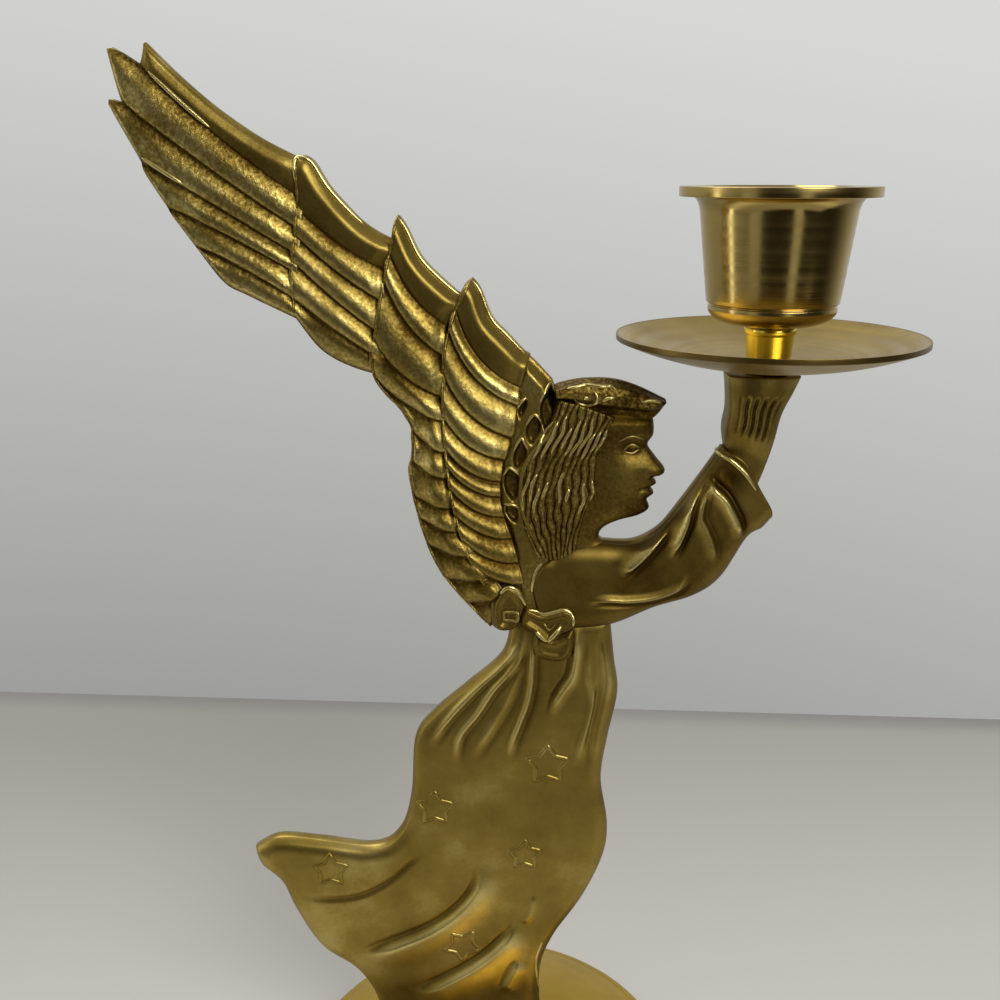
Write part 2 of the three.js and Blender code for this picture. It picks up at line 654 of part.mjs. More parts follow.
// A slotted pan head screw, head down, with its head's flat face at height 0 and its shank above.
function screw(length) {
  const path = new THREE.Path().moveTo(0, length).lineTo(screwRadius - screwPoint, length);
  path.lineTo(screwRadius, length - screwPoint).lineTo(screwRadius, 0);
  path.lineTo(screwHeadRadius, 0).lineTo(screwHeadRadius, -screwHeadHeight * 0.5);
  path.quadraticCurveTo(screwHeadRadius * 0.9, -screwHeadHeight, 0, -screwHeadHeight);
  const slot = new THREE.BoxGeometry(3 * screwHeadRadius, screwSlotWidth, 2 * screwSlotDepth)
    .translate(0, 0, -screwHeadHeight);
  return turned(path.getPoints(4), smallSegments).subtract(toSolid(slot));
}

function washer() {
  const plate = disc(washerRadius, 0, washerThickness, smallSegments);
  return plate.subtract(screwHole(0, -1, washerThickness + 1));
}

// Candle holder on the hand: collar, drip pan, neck and cup, each standing on the one below

function collar() {
  return disc(collarRadius, 0, collarHeight, smallSegments).subtract(screwHole(0, -1, collarHeight + 1));
}

function dripPan() {
  const bore = screwRadius + screwHoleClearance;
  const path = new THREE.Path().moveTo(bore, 0).lineTo(panFlatRadius, 0);
  path.quadraticCurveTo(panRadius * 0.66, panDepth * 0.15, panRadius, panDepth);
  path.lineTo(panRadius - 0.3, panDepth + panThickness);
  path.quadraticCurveTo(panRadius * 0.66, panDepth * 0.2 + panThickness, panFlatRadius, panThickness);
  path.lineTo(bore, panThickness);
  return turned(path.getPoints(4), baseSegments);
}

function neck() {
  const bore = screwRadius + screwHoleClearance;
  const path = new THREE.Path().moveTo(bore, 0).lineTo(neckRadius, 0);
  path.lineTo(neckShoulderRadius - 0.2, neckHeight - 1.2);
  path.quadraticCurveTo(neckShoulderRadius + 0.3, neckHeight - 0.8, neckShoulderRadius, neckHeight);
  path.lineTo(bore, neckHeight);
  return turned(path.getPoints(4), smallSegments);
}

function candleCup() {
  const bore = screwRadius + screwHoleClearance;
  const rimBottom = cupHeight - cupRimThickness;
  const flareStart = rimBottom - 3;
  const path = new THREE.Path().moveTo(bore, 0).lineTo(neckShoulderRadius + 0.4, 0);
  path.quadraticCurveTo(cupBottomRadius - 0.9, 0.3, cupBottomRadius - 0.3, 2.6);
  path.lineTo(cupBottomRadius - 0.3, 3.2).lineTo(cupBottomRadius - 0.6, 3.4);
  path.lineTo(cupBottomRadius, 3.8).lineTo(cupTopRadius, flareStart);
  path.quadraticCurveTo(cupTopRadius + 0.3, flareStart + 2.6, cupTopRadius + 1.3, rimBottom);
  path.lineTo(cupRimRadius - 0.2, rimBottom).lineTo(cupRimRadius, rimBottom + 0.3);
  path.lineTo(cupRimRadius, cupHeight - 0.3).lineTo(cupRimRadius - 0.3, cupHeight);
  path.lineTo(boreMouthRadius + 0.5, cupHeight).lineTo(boreMouthRadius, cupHeight - 0.6);
  path.lineTo(boreFloorRadius, cupFloorThickness + 1).lineTo(boreFloorRadius - 1, cupFloorThickness);
  path.lineTo(screwRecessRadius, cupFloorThickness);
  path.lineTo(screwRecessRadius, cupFloorThickness - screwRecessDepth);
  path.lineTo(bore, cupFloorThickness - screwRecessDepth);
  return turned(path.getPoints(3), cupSegments);
}

// Assembly

const model = new THREE.Group();
model.add(named('base', base(), turnedBrass));

const underside = new THREE.Group();
underside.position.z = baseFloorHeight - seatGap - washerThickness;
const footScrewLength = washerThickness + baseFloorThickness + 3 * seatGap + footScrewGrip - screwEndGap;
underside.add(named('base_washer', washer(), polishedBrass));
const baseScrew = named('base_screw', screw(footScrewLength), screwSteel);
baseScrew.position.z = -seatGap;
underside.add(baseScrew);
model.add(underside);

const figure = new THREE.Group();
figure.position.z = baseCrownHeight + seatGap;
figure.add(named('angel_figure', angelFigure(), castBrass));
model.add(figure);

const holder = new THREE.Group();
holder.position.set(cupReach, 0, handTopHeight);
const stack = [
  ['hand_collar', collar(), polishedBrass, collarHeight],
  ['drip_pan', dripPan(), spunBrass, panThickness],
  ['cup_neck', neck(), polishedBrass, neckHeight],
  ['candle_cup', candleCup(), turnedBrass, cupFloorThickness],
];
let seat = 0;
for (const [name, solid, material, height] of stack) {
  const piece = named(name, solid, material);
  piece.position.z = seat + seatGap;
  seat += seatGap + height;
  holder.add(piece);
}
const cupScrewSeat = seat - screwRecessDepth + seatGap;
const cupScrew = named('cup_screw', screw(cupScrewSeat + handScrewGrip - screwEndGap), screwSteel);
cupScrew.rotation.x = Math.PI;
cupScrew.position.z = cupScrewSeat;
holder.add(cupScrew);
figure.add(holder);

// The origin is on the table, under the middle of the whole piece.
const bounds = new THREE.Box3().setFromObject(model);
model.position.x = -(bounds.min.x + bounds.max.x) / 2;
model.position.y = -(bounds.min.y + bounds.max.y) / 2;
model.updateMatrixWorld(true);

export default model;
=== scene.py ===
import math

import bmesh
import bpy
import numpy as np
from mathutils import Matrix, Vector


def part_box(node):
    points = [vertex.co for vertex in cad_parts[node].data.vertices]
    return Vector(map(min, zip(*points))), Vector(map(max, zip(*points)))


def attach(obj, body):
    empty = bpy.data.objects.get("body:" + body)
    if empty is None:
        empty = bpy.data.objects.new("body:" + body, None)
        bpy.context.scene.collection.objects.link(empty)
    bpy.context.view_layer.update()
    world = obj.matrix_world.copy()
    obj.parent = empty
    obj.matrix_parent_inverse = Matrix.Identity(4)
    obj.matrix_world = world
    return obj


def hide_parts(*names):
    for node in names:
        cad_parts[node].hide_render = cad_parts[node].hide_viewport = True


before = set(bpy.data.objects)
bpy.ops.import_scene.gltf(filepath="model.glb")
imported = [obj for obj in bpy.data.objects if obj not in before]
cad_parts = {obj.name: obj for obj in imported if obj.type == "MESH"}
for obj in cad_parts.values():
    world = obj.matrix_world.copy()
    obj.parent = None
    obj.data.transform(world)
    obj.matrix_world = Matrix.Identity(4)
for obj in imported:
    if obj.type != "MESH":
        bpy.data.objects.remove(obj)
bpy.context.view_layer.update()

# The table that the candlestick stands on, a board with matt paint, in a pale room that is dimmer
# on the viewer's side. The room's lamps and the camera are set up here too.

MM = 0.001
scene = bpy.context.scene
scene.view_settings.view_transform = "Standard"


def linear(code):
    """An sRGB hex colour as linear red, green, blue and alpha."""
    shares = [int(code[k:k + 2], 16) / 255 for k in (1, 3, 5)]
    return (*[c / 12.92 if c <= 0.04045 else ((c + 0.055) / 1.055) ** 2.4 for c in shares], 1)


def feed(tree, made, inputs):
    """Sets inputs of a node, each to a value, to a socket or to the first output of a node."""
    for key, value in inputs.items():
        if isinstance(value, bpy.types.Node):
            value = value.outputs[0]
        if isinstance(value, bpy.types.NodeSocket):
            tree.links.new(value, made.inputs[key])
        else:
            made.inputs[key].default_value = value


def node(tree, kind, inputs=None, **settings):
    """Adds a node with its settings and its inputs."""
    made = tree.nodes.new(kind)
    for key, value in settings.items():
        setattr(made, key, value)
    feed(tree, made, inputs or {})
    return made


def new_material(name):
    """An empty material with its shader, as (material, node tree, shader)."""
    made = bpy.data.materials.new(name)
    made.use_nodes = True
    made.node_tree.nodes.clear()
    shader = node(made.node_tree, "ShaderNodeBsdfPrincipled")
    node(made.node_tree, "ShaderNodeOutputMaterial", {"Surface": shader})
    return made, made.node_tree, shader


def new_object(name, mesh):
    made = bpy.data.objects.new(name, mesh)
    scene.collection.objects.link(made)
    return made


table_front, table_thickness = 0.27, 0.03
left, back_left = -0.34, 0.1832
right, back_right = 0.34, 0.1426
table_corners = [(left, -table_front), (right, -table_front),
                 (right, back_right), (left, back_left)]
table_mesh = bpy.data.meshes.new("table")
table_mesh.from_pydata(
    [(x, y, z) for z in (-table_thickness, 0) for x, y in table_corners], [],
    [(4, 5, 6, 7), (3, 2, 1, 0), (0, 1, 5, 4), (1, 2, 6, 5), (2, 3, 7, 6), (3, 0, 4, 7)])
table = new_object("table", table_mesh)


def turning_to(tone, colour, tree, place, direction, start, end, ease="SMOOTHSTEP"):
    """Lets a colour turn to this tone between two distances in a direction."""
    along = node(tree, "ShaderNodeVectorMath", {0: place, 1: direction}, operation="DOT_PRODUCT")
    share = node(tree, "ShaderNodeMapRange", {
        "Value": along.outputs["Value"], "From Min": start, "From Max": end},
        interpolation_type=ease)
    return node(tree, "ShaderNodeMix", {
        0: share, 6: colour, 7: linear(tone)}, data_type="RGBA").outputs[2]


# Matt paint on the table, with the fine grain of a roller. Light and shade are painted into its
# colour: painted shade darkens it towards the wall, painted light brightens it towards the front
# and the right, with a pale painted pool of light in front of the candlestick, a painted shadow
# darkens it again towards the viewer, and a soft painted shadow lines its far edge. Each tone has
# its lean to the right and the distances from that edge where it starts and where it is full.
matt_paint_and_painted_light, tree, shader = new_material("matt_paint_and_painted_light")
spot = node(tree, "ShaderNodeTexCoord").outputs["Object"]
grain = node(tree, "ShaderNodeTexNoise", {"Vector": spot, "Scale": 1 / (2.5 * MM), "Detail": 3})
bumps = node(tree, "ShaderNodeBump", {"Height": grain, "Strength": 0.05, "Distance": 0.2 * MM})
edge_slope = (back_right - back_left) / (right - left)
edge_middle = (back_right + back_left) / 2
board_and_painted_light = linear("#979590")
for lean, start, end, tone in (
        (0.22, -0.02, 0.2, "#bcbab6"), (0, 0.155, 0.2, "#dcdad5"), (0, 0.22, 0.31, "#989691"),
        (0, 0.014, -0.001, "#848380")):
    board_and_painted_light = turning_to(tone, board_and_painted_light, tree, spot, (edge_slope + lean, -1, 0),
                       start - edge_middle, end - edge_middle)
feed(tree, shader, {
    "Base Color": board_and_painted_light, "Roughness": 0.6, "Specular IOR Level": 0.25, "Normal": bumps})
table_mesh.materials.append(matt_paint_and_painted_light)

# The room by direction: a pale wall that is brighter towards its top right, a dim front, and a
# ceiling. Each tone has its direction, and the reach in it where the tone starts and is full.
world = bpy.data.worlds.new("room")
scene.world = world
world.use_nodes = True
tree = world.node_tree
tree.nodes.clear()
towards = node(tree, "ShaderNodeTexCoord").outputs["Generated"]
room = linear("#9c9c98")
for tone, direction, start, end, ease in (
        ("#d8d8d6", (0.18, 0, 1), -0.5, 0.16, "LINEAR"),
        ("#2b2822", (-0.45, 1, 0), 0.4, -0.75, "SMOOTHSTEP"),
        ("#b4b0a8", (0, 0, 1), 0.3, 0.9, "SMOOTHSTEP")):
    room = turning_to(tone, room, tree, towards, direction, start, end, ease)
node(tree, "ShaderNodeOutputWorld", {"Surface": node(tree, "ShaderNodeBackground", {0: room})})
candlestick_middle = Vector((0, 0, 0.11))


def soft_light(name, place, size, watts, shape="ELLIPSE"):
    """A lamp of this width and height, turned to the middle of the candlestick."""
    data = bpy.data.lights.new(name, "AREA")
    data.shape = shape
    data.size, data.size_y = size
    data.energy = watts
    lamp = bpy.data.objects.new(name, data)
    lamp.location = place
    to_middle = candlestick_middle - Vector(place)
    lamp.rotation_euler = to_middle.to_track_quat("-Z", "Y").to_euler()
    scene.collection.objects.link(lamp)


# The window and the ceiling light the brass softly. The strips leave streaks of light on the cup.
soft_light("window", (0.30, -0.48, 0.46), (0.4, 0.4), 3.2)
soft_light("ceiling", (-0.25, 0.2, 0.75), (0.5, 0.5), 2.8)
soft_light("left_strip", (-0.36, -0.03, 0.14), (0.04, 0.7), 0.24, "RECTANGLE")
soft_light("dim_left", (-0.29, -0.32, 0.10), (0.14, 0.7), 0.1, "RECTANGLE")
soft_light("dim_right", (0.17, -0.44, 0.08), (0.10, 0.7), 0.12, "RECTANGLE")

# The camera looks down as the photograph's did. Its place, lens and tilt were fitted to the
# circles of the cup, the pan and the base.
base_low, base_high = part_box("base")
base_axis = (base_low.x + base_high.x) / 2
camera_data = bpy.data.cameras.new("camera")
camera_data.sensor_width = 36
camera_data.lens = 39.6
camera = bpy.data.objects.new("camera", camera_data)
camera_pitch = math.radians(16.7)
camera.location = (base_axis + 0.0025, -0.180, 0.177)
camera.rotation_euler = (math.pi / 2 - camera_pitch, 0, 0)
scene.collection.objects.link(camera)
scene.camera = camera

# The base, a round brass casting turned on a lathe to a low dome and hollowed underneath. The
# figure stands on the flat seat in its middle, and a screw through the bore pulls the two
# together.

screw_bore = 2.3


def quadratic(a, b, c, steps=16):
    """Points of a quadratic curve, without its first."""
    return [[(1 - t) ** 2 * p + 2 * t * (1 - t) * q + t * t * r for p, q, r in zip(a, b, c)]
            for t in np.linspace(0, 1, steps + 1)[1:]]


least_turn = 0.26
on_axis = 1e-6


def softened(profile, radius):
    """A profile with its sharp corners rounded, as a file or a buffing wheel leaves them."""
    points = np.array(profile, float)
    rounded = []
    for k, corner in enumerate(points):
        back, ahead = points[k - 1] - corner, points[(k + 1) % len(points)] - corner
        lengths = np.linalg.norm(back), np.linalg.norm(ahead)
        turn = math.pi - math.acos(np.clip(back @ ahead / (lengths[0] * lengths[1]), -1, 1))
        if turn < least_turn or corner[0] < on_axis:
            rounded.append(corner)
            continue
        cut = min(radius * math.tan(turn / 2), 0.45 * lengths[0], 0.45 * lengths[1])
        start, end = corner + back / lengths[0] * cut, corner + ahead / lengths[1] * cut
        rounded += [start, *[np.array(p) for p in quadratic(start, corner, end, 4)]]
    return np.array(rounded)


def turned(name, profile, axis_x, foot, softness=0.25, segments=144):
    """A closed mesh turned about an upright axis from a closed profile of (radius, height) points
    in millimetres, its corners rounded by the softness. Its attribute tool_path is the distance
    that the cutter has come along the profile."""
    rounded = softened(profile, softness)
    steps = np.linalg.norm(np.diff(rounded, axis=0), axis=1)
    path = np.append(0, np.cumsum(steps))
    shape = bmesh.new()
    tool_path = shape.verts.layers.float.new("tool_path")
    rings = []
    for (r, z), run in zip(rounded, path):
        count = 1 if r < on_axis else segments
        ring = []
        for k in range(count):
            angle = 2 * math.pi * k / count
            vert = shape.verts.new((
                (axis_x + r * math.cos(angle)) * MM, r * math.sin(angle) * MM, (foot + z) * MM))
            vert[tool_path] = run
            ring.append(vert)
        rings.append(ring)
    closed = len(rings[0]) > 1
    pairs = list(zip(rings, rings[1:] + rings[:1])) if closed else list(zip(rings, rings[1:]))
    for one, two in pairs:
        for k in range(segments):
            corners = [one[k % len(one)], one[(k + 1) % len(one)],
                       two[(k + 1) % len(two)], two[k % len(two)]]
            shape.faces.new(list(dict.fromkeys(corners)))
    bmesh.ops.recalc_face_normals(shape, faces=shape.faces)
    mesh = bpy.data.meshes.new(name)
    shape.to_mesh(mesh)
    shape.free()
    mesh.shade_smooth()
    return new_object(name, mesh)


def stand(part):
    """The axis, foot, height and radius of a turned CAD part, in millimetres."""
    low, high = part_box(part)
    return (low.x + high.x) / 2 / MM, low.z / MM, (high.z - low.z) / MM, (high.x - low.x) / 2 / MM


def fitted(piece, material, part):
    """Finishes a piece: its material, the body it rides on, and the CAD part it stands for."""
    piece.data.materials.clear()
    piece.data.materials.append(material)
    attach(piece, "root")
    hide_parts(part)


cloud_width = 9 * MM


def lathe_brass(name, bright, shade, rough, line_width, line_depth, mottle=0.35):
    """Brass off the lathe: fine rings follow the cutter's path, under slightly uneven lacquer."""
    made, tree, shader = new_material(name)
    spot = node(tree, "ShaderNodeTexCoord").outputs["Object"]
    path = node(tree, "ShaderNodeAttribute", attribute_name="tool_path").outputs["Fac"]
    lines, wide = (node(tree, "ShaderNodeTexNoise", {
        "W": path, "Scale": scale, "Detail": detail}, noise_dimensions="1D")
        for scale, detail in ((1 / line_width, 4), (0.5, 2)))
    cloud = node(tree, "ShaderNodeTexNoise", {
        "Vector": spot, "Scale": 1 / cloud_width, "Detail": 5})
    blend = node(tree, "ShaderNodeMapRange", {
        "Value": cloud, "From Min": 0.35, "From Max": 0.7, "To Max": mottle})
    colour = node(tree, "ShaderNodeMix", {
        0: blend, 6: linear(bright), 7: linear(shade)}, data_type="RGBA").outputs[2]
    matt = node(tree, "ShaderNodeMapRange", {
        "Value": wide, "From Min": 0.3, "From Max": 0.7, "To Min": rough - 0.05,
        "To Max": rough + 0.06})
    rings = node(tree, "ShaderNodeBump", {
        "Height": lines, "Strength": 0.5, "Distance": line_depth * MM})
    feed(tree, shader, {"Base Color": colour, "Metallic": 1, "Roughness": matt, "Normal": rings})
    return made


# Turned and buffed brass, a warm olive gold. The cutter's rings are about 0.25 mm apart here,
# which is coarser than real ones so that they show.
turned_brass = lathe_brass("turned_brass", "#b39c5e", "#8d783f", 0.19, 0.25, 0.012)
buffed_base = lathe_brass("turned_and_buffed_brass", "#b39640", "#907630", 0.32, 0.25, 0.006)

axis_x, foot, crown, radius = stand("base")
rim, seat_radius, floor_height = 4.6, 10, crown - 3.4
profile = [(screw_bore, crown), (seat_radius, crown)]
profile += quadratic(profile[-1], (radius * 0.7, crown), (radius - 2.2, rim), 24)
profile += quadratic(profile[-1], (radius, rim), (radius, rim / 2))
profile += quadratic(profile[-1], (radius, 0), (radius - 1, 0))
profile += [(radius - 3.6, 0), (radius - 4.2, 2)]
profile += quadratic(profile[-1], (radius * 0.6, floor_height), (6, floor_height))
profile += [(screw_bore, floor_height)]
fitted(turned("candlestick_base", profile, axis_x, foot), buffed_base, "base")

# The washer under the base and the slotted screws, one up through the base into the figure's feet
# and one down through the cup, neck, pan and collar into the hand. Plain bought fasteners, steel
# screws.

# Bright polished brass, and plated steel that is a little dull.
plain_brass = lathe_brass("polished_plain_brass", "#ead258", "#c2a83a", 0.2, 0.4, 0.004)
screw_steel = lathe_brass("bright_screw_steel", "#a9a7a2", "#7d7b77", 0.3, 0.3, 0.01)


def washer(name, part, softness):
    """A plain washer round a screw."""
    axis_x, foot, height, radius = stand(part)
    profile = [(screw_bore, 0), (radius, 0), (radius, height), (screw_bore, height)]
    fitted(turned(name, profile, axis_x, foot, softness, 64), plain_brass, part)


def slotted_screw(name, part, head_up):
    """A pan head screw, head up or down, with a slot sawn across its head."""
    shank, head_height, slot_width, slot_depth, saw_reach = 2, 2.4, 1.1, 1.1, 6
    axis_x, foot, height, radius = stand(part)
    shank_height = height - head_height
    profile = [(0, shank_height), (shank - 0.4, shank_height), (shank, shank_height - 0.4),
               (shank, 0), (radius, 0), (radius, -head_height / 2)]
    profile += quadratic(profile[-1], (radius * 0.9, -head_height), (0, -head_height))
    if head_up:
        profile = [(r, height - head_height - z) for r, z in profile]
    else:
        profile = [(r, z + head_height) for r, z in profile]
    piece = turned(name, profile, axis_x, foot, 0.12, 48)
    slot_height = height if head_up else 0
    cutter_mesh = bpy.data.meshes.new("saw_cut")
    corners = [(axis_x + x, y, foot + slot_height + z) for z in (-slot_depth, slot_depth)
               for y in (-slot_width / 2, slot_width / 2) for x in (-saw_reach, saw_reach)]
    cutter_mesh.from_pydata(
        [[c * MM for c in corner] for corner in corners], [],
        [(0, 2, 3, 1), (4, 5, 7, 6), (0, 1, 5, 4), (2, 6, 7, 3), (0, 4, 6, 2), (1, 3, 7, 5)])
    cutter = new_object("saw_cut", cutter_mesh)
    cut = piece.modifiers.new("slot", "BOOLEAN")
    cut.operation = "DIFFERENCE"
    cut.object = cutter
    graph = bpy.context.evaluated_depsgraph_get()
    sawn = bpy.data.meshes.new_from_object(piece.evaluated_get(graph), depsgraph=graph)
    piece.modifiers.remove(cut)
    piece.data = sawn
    bpy.data.objects.remove(cutter)
    sawn.set_sharp_from_angle(angle=math.radians(40))
    fitted(piece, screw_steel, part)


washer("under_base_washer", "base_washer", 0.15)
slotted_screw("foot_screw", "base_screw", head_up=False)
slotted_screw("hand_screw", "cup_screw", head_up=True)

# The wing of the cast brass figure, in relief on both faces: four tiers of feathers, each tier
# lying over the roots of the one further out. Each feather is a rounded shingle with a step at its
# lower edge.

figure_foot = base_high.z / MM + 0.3
figure_axis = base_axis / MM
plate_edge = 1.0
edge_round = 0.2


def spline(points, t):
    """A smooth curve through the points, run along from 0 to 1."""
    points = np.array(points, float)
    run = np.clip(np.asarray(t, float), 0, 1) * (len(points) - 1)
    first = np.minimum(np.floor(run).astype(int), len(points) - 1)
    w = (run - first)[..., None]
    a, b, c, d = (points[np.clip(first + k, 0, len(points) - 1)] for k in (-1, 0, 1, 2))
    out, back = (c - a) / 2, (d - b) / 2
    return ((2 * b - 2 * c + out + back) * w ** 3 + (3 * c - 3 * b - 2 * out - back) * w ** 2
            + out * w + b)


def at_shares(points, shares, steps):
    """Places at these shares of the length of a smooth curve through the points."""
    fine = spline(points, np.linspace(0, 1, steps))
    run = np.append(0, np.cumsum(np.linalg.norm(np.diff(fine, axis=0), axis=1)))
    return np.stack([np.interp(shares * run[-1], run, fine[:, k]) for k in (0, 1)], -1)


def evenly(points, count):
    """Points at even steps along a smooth curve."""
    return at_shares(points, np.linspace(0, 1, count), 40 * len(points))


def shared_out(points, widths, t):
    """The curve, run along by its length, one feather's width after another."""
    stops = np.append(0, np.cumsum(widths)) / np.sum(widths)
    return at_shares(points, np.interp(t, np.linspace(0, 1, len(stops)), stops), 500)


def smooth(value, low, high):
    share = np.clip((value - low) / (high - low), 0, 1)
    return share * share * (3 - 2 * share)


def distance(spot, line):
    """How far each spot is from a line of points, how far along the line its nearest point is, and
    on which side of the line it lies, 1 for the left."""
    flat = spot.reshape(-1, 2)
    gap = np.full(len(flat), np.inf)
    along = np.zeros(len(flat))
    side = np.ones(len(flat))
    for k, (a, b) in enumerate(zip(line, line[1:])):
        step = b - a
        share = np.clip((flat - a) @ step / max(step @ step, 1e-12), 0, 1)
        away = np.linalg.norm(flat - a - share[:, None] * step, axis=1)
        nearer = away < gap
        gap[nearer] = away[nearer]
        along[nearer] = (k + share[nearer]) / (len(line) - 1)
        turn = step[0] * (flat[:, 1] - a[1]) - step[1] * (flat[:, 0] - a[0])
        side[nearer] = np.sign(turn[nearer])
    return [found.reshape(spot.shape[:-1]) for found in (gap, along, side)]


def plate(name, spot, half, fields):
    """A closed plate with the same relief on both faces. spot is its grid of (x, z) places, half
    is half its thickness at each, and fields are attributes. Its edge is a little rounded."""
    half = np.broadcast_to(half, spot.shape[:2])
    index = np.arange(half.size).reshape(half.shape)
    ring = np.concatenate([index[:-1, 0], index[-1, :-1], index[:0:-1, -1], index[0, :0:-1]])
    flat = spot.reshape(-1, 2)
    loop = flat[ring]
    area = np.sum(loop[:, 0] * np.roll(loop[:, 1], -1) - loop[:, 1] * np.roll(loop[:, 0], -1))
    tangent = np.roll(loop, -1, 0) - np.roll(loop, 1, 0)
    outward = np.stack([tangent[:, 1], -tangent[:, 0]], -1) * np.sign(area)
    outward /= np.maximum(np.linalg.norm(outward, axis=1), 1e-9)[:, None]
    turns = np.radians([30, 60, 90, 120, 150])
    sources = [np.arange(len(flat)), np.arange(len(flat)), *[ring] * len(turns)]
    sides = [-np.ones(len(flat)), np.ones(len(flat)),
             *[-math.cos(a) * np.ones(len(ring)) for a in turns]]
    places = [flat, flat, *[loop + outward * edge_round * math.sin(a) for a in turns]]
    source, side, place = np.concatenate(sources), np.concatenate(sides), np.concatenate(places)
    y = side * half.reshape(-1)[source]
    verts = np.stack([place[:, 0] + figure_axis, y, place[:, 1] + figure_foot], -1) * MM
    quads = np.stack([index[:-1, :-1], index[1:, :-1], index[1:, 1:], index[:-1, 1:]], -1)
    quads = quads.reshape(-1, 4)
    faces = [quads, quads[:, ::-1] + len(flat)]
    edges = 2 * len(flat) + np.arange(len(turns) * len(ring)).reshape(len(turns), -1)
    bands = [ring, *edges, ring + len(flat)]
    for one, two in zip(bands, bands[1:]):
        faces.append(np.stack([one, two, np.roll(two, -1), np.roll(one, -1)], -1))
    mesh = bpy.data.meshes.new(name)
    mesh.from_pydata(verts, [], np.concatenate(faces).tolist())
    marks = {key: np.broadcast_to(values, half.shape).reshape(-1)[source]
             for key, values in fields.items()}
    for key, values in {**marks, "side": side}.items():
        mesh.attributes.new(key, "FLOAT", "POINT").data.foreach_set("value", values)
    shape = bmesh.new()
    shape.from_mesh(mesh)
    bmesh.ops.recalc_face_normals(shape, faces=shape.faces)
    shape.to_mesh(mesh)
    shape.free()
    mesh.shade_smooth()
    return new_object(name, mesh)


def shaped(piece, tree, sizes):
    """Runs a piece through a node tree with these inputs and keeps the result as its mesh."""
    modifier = piece.modifiers.new(tree.name, "NODES")
    modifier.node_group = tree
    for socket in tree.interface.items_tree:
        if socket.name in sizes:
            modifier[socket.identifier] = sizes[socket.name]
    graph = bpy.context.evaluated_depsgraph_get()
    mesh = bpy.data.meshes.new_from_object(
        piece.evaluated_get(graph), preserve_all_data_layers=True, depsgraph=graph)
    piece.modifiers.remove(modifier)
    piece.data = mesh
    return piece


def joined(name, pieces):
    """One object from several."""
    with bpy.context.temp_override(active_object=pieces[0], object=pieces[0],
                                   selected_editable_objects=pieces):
        bpy.ops.object.join()
    pieces[0].name = name
    pieces[0].data.name = name
    return pieces[0]


def new_tree(name, sockets):
    """An empty geometry node tree with named inputs, as (tree, its inputs, its output node)."""
    tree = bpy.data.node_groups.new(name, "GeometryNodeTree")
    tree.interface.new_socket("Geometry", in_out="INPUT", socket_type="NodeSocketGeometry")
    tree.interface.new_socket("Geometry", in_out="OUTPUT", socket_type="NodeSocketGeometry")
    for label, kind in sockets.items():
        tree.interface.new_socket(label, in_out="INPUT", socket_type="NodeSocket" + kind)
    return tree, node(tree, "NodeGroupInput").outputs, node(tree, "NodeGroupOutput")


def drawn(curve_node, points):
    """Sets the points of a curve node."""
    curve = curve_node.mapping.curves[0]
    for point, place in zip(curve.points, (points[0], points[-1])):
        point.location = place
    for place in points[1:-1]:
        curve.points.new(*place)
    curve_node.mapping.update()
    return curve_node


# Cast brass, buffed on its high spots. Sand grain of about half a millimetre and small pits are
# left in the hollows, which are darker and duller, and the skin is slightly cloudy all over.
sand_grain, pit = 0.55 * MM, 1.1 * MM
cast_brass, tree, shader = new_material("buffed_cast_brass")
spot = node(tree, "ShaderNodeTexCoord").outputs["Object"]
buff, grain = (node(tree, "ShaderNodeAttribute", attribute_name=key).outputs["Fac"]
               for key in ("buff", "grain"))
cloud = node(tree, "ShaderNodeTexNoise", {"Vector": spot, "Scale": 1 / cloud_width, "Detail": 5})
sand = node(tree, "ShaderNodeTexNoise", {"Vector": spot, "Scale": 1 / sand_grain, "Detail": 4})
speck, haze = (node(tree, "ShaderNodeMapRange", {
    "Value": noise, "From Min": 0.3, "From Max": 0.7, "To Min": -reach, "To Max": reach})
    for noise, reach in ((sand, 0.3), (cloud, 0.14)))
worn = node(tree, "ShaderNodeMath", {0: speck, 1: grain, 2: buff}, operation="MULTIPLY_ADD")
worn = node(tree, "ShaderNodeMath", {0: worn, 1: haze}, operation="ADD", use_clamp=True)
colour = linear("#47340f")
for start, end, tone in ((0, 0.5, "#8a7638"), (0.5, 1, "#cebd7a")):
    share = node(tree, "ShaderNodeMapRange", {"Value": worn, "From Min": start, "From Max": end})
    colour = node(tree, "ShaderNodeMix", {
        0: share, 6: colour, 7: linear(tone)}, data_type="RGBA").outputs[2]
matt = node(tree, "ShaderNodeMapRange", {"Value": worn, "To Min": 0.48, "To Max": 0.3})
pits = node(tree, "ShaderNodeTexVoronoi", {"Vector": spot, "Scale": 1 / pit})
uneven = node(tree, "ShaderNodeMath", {
    0: pits.outputs["Distance"], 1: 0.5, 2: sand}, operation="MULTIPLY_ADD")
depth = node(tree, "ShaderNodeMapRange", {"Value": grain, "To Min": 0.04, "To Max": 0.8})
skin = node(tree, "ShaderNodeBump", {"Height": uneven, "Strength": depth, "Distance": 0.1 * MM})
feed(tree, shader, {"Base Color": colour, "Metallic": 1, "Roughness": matt, "Normal": skin})


def ended(tree, marks, shape, given, result):
    """Ends a node tree: the shape gets its marks, is made real and gets its material."""
    for key, value in marks.items():
        shape = node(tree, "GeometryNodeStoreNamedAttribute", {
            "Geometry": shape, "Name": key, "Value": value}, data_type="FLOAT")
    shape = node(tree, "GeometryNodeRealizeInstances", {0: shape})
    feed(tree, result, {0: node(tree, "GeometryNodeSetMaterial", {
        "Geometry": shape, "Material": given["Material"]})})


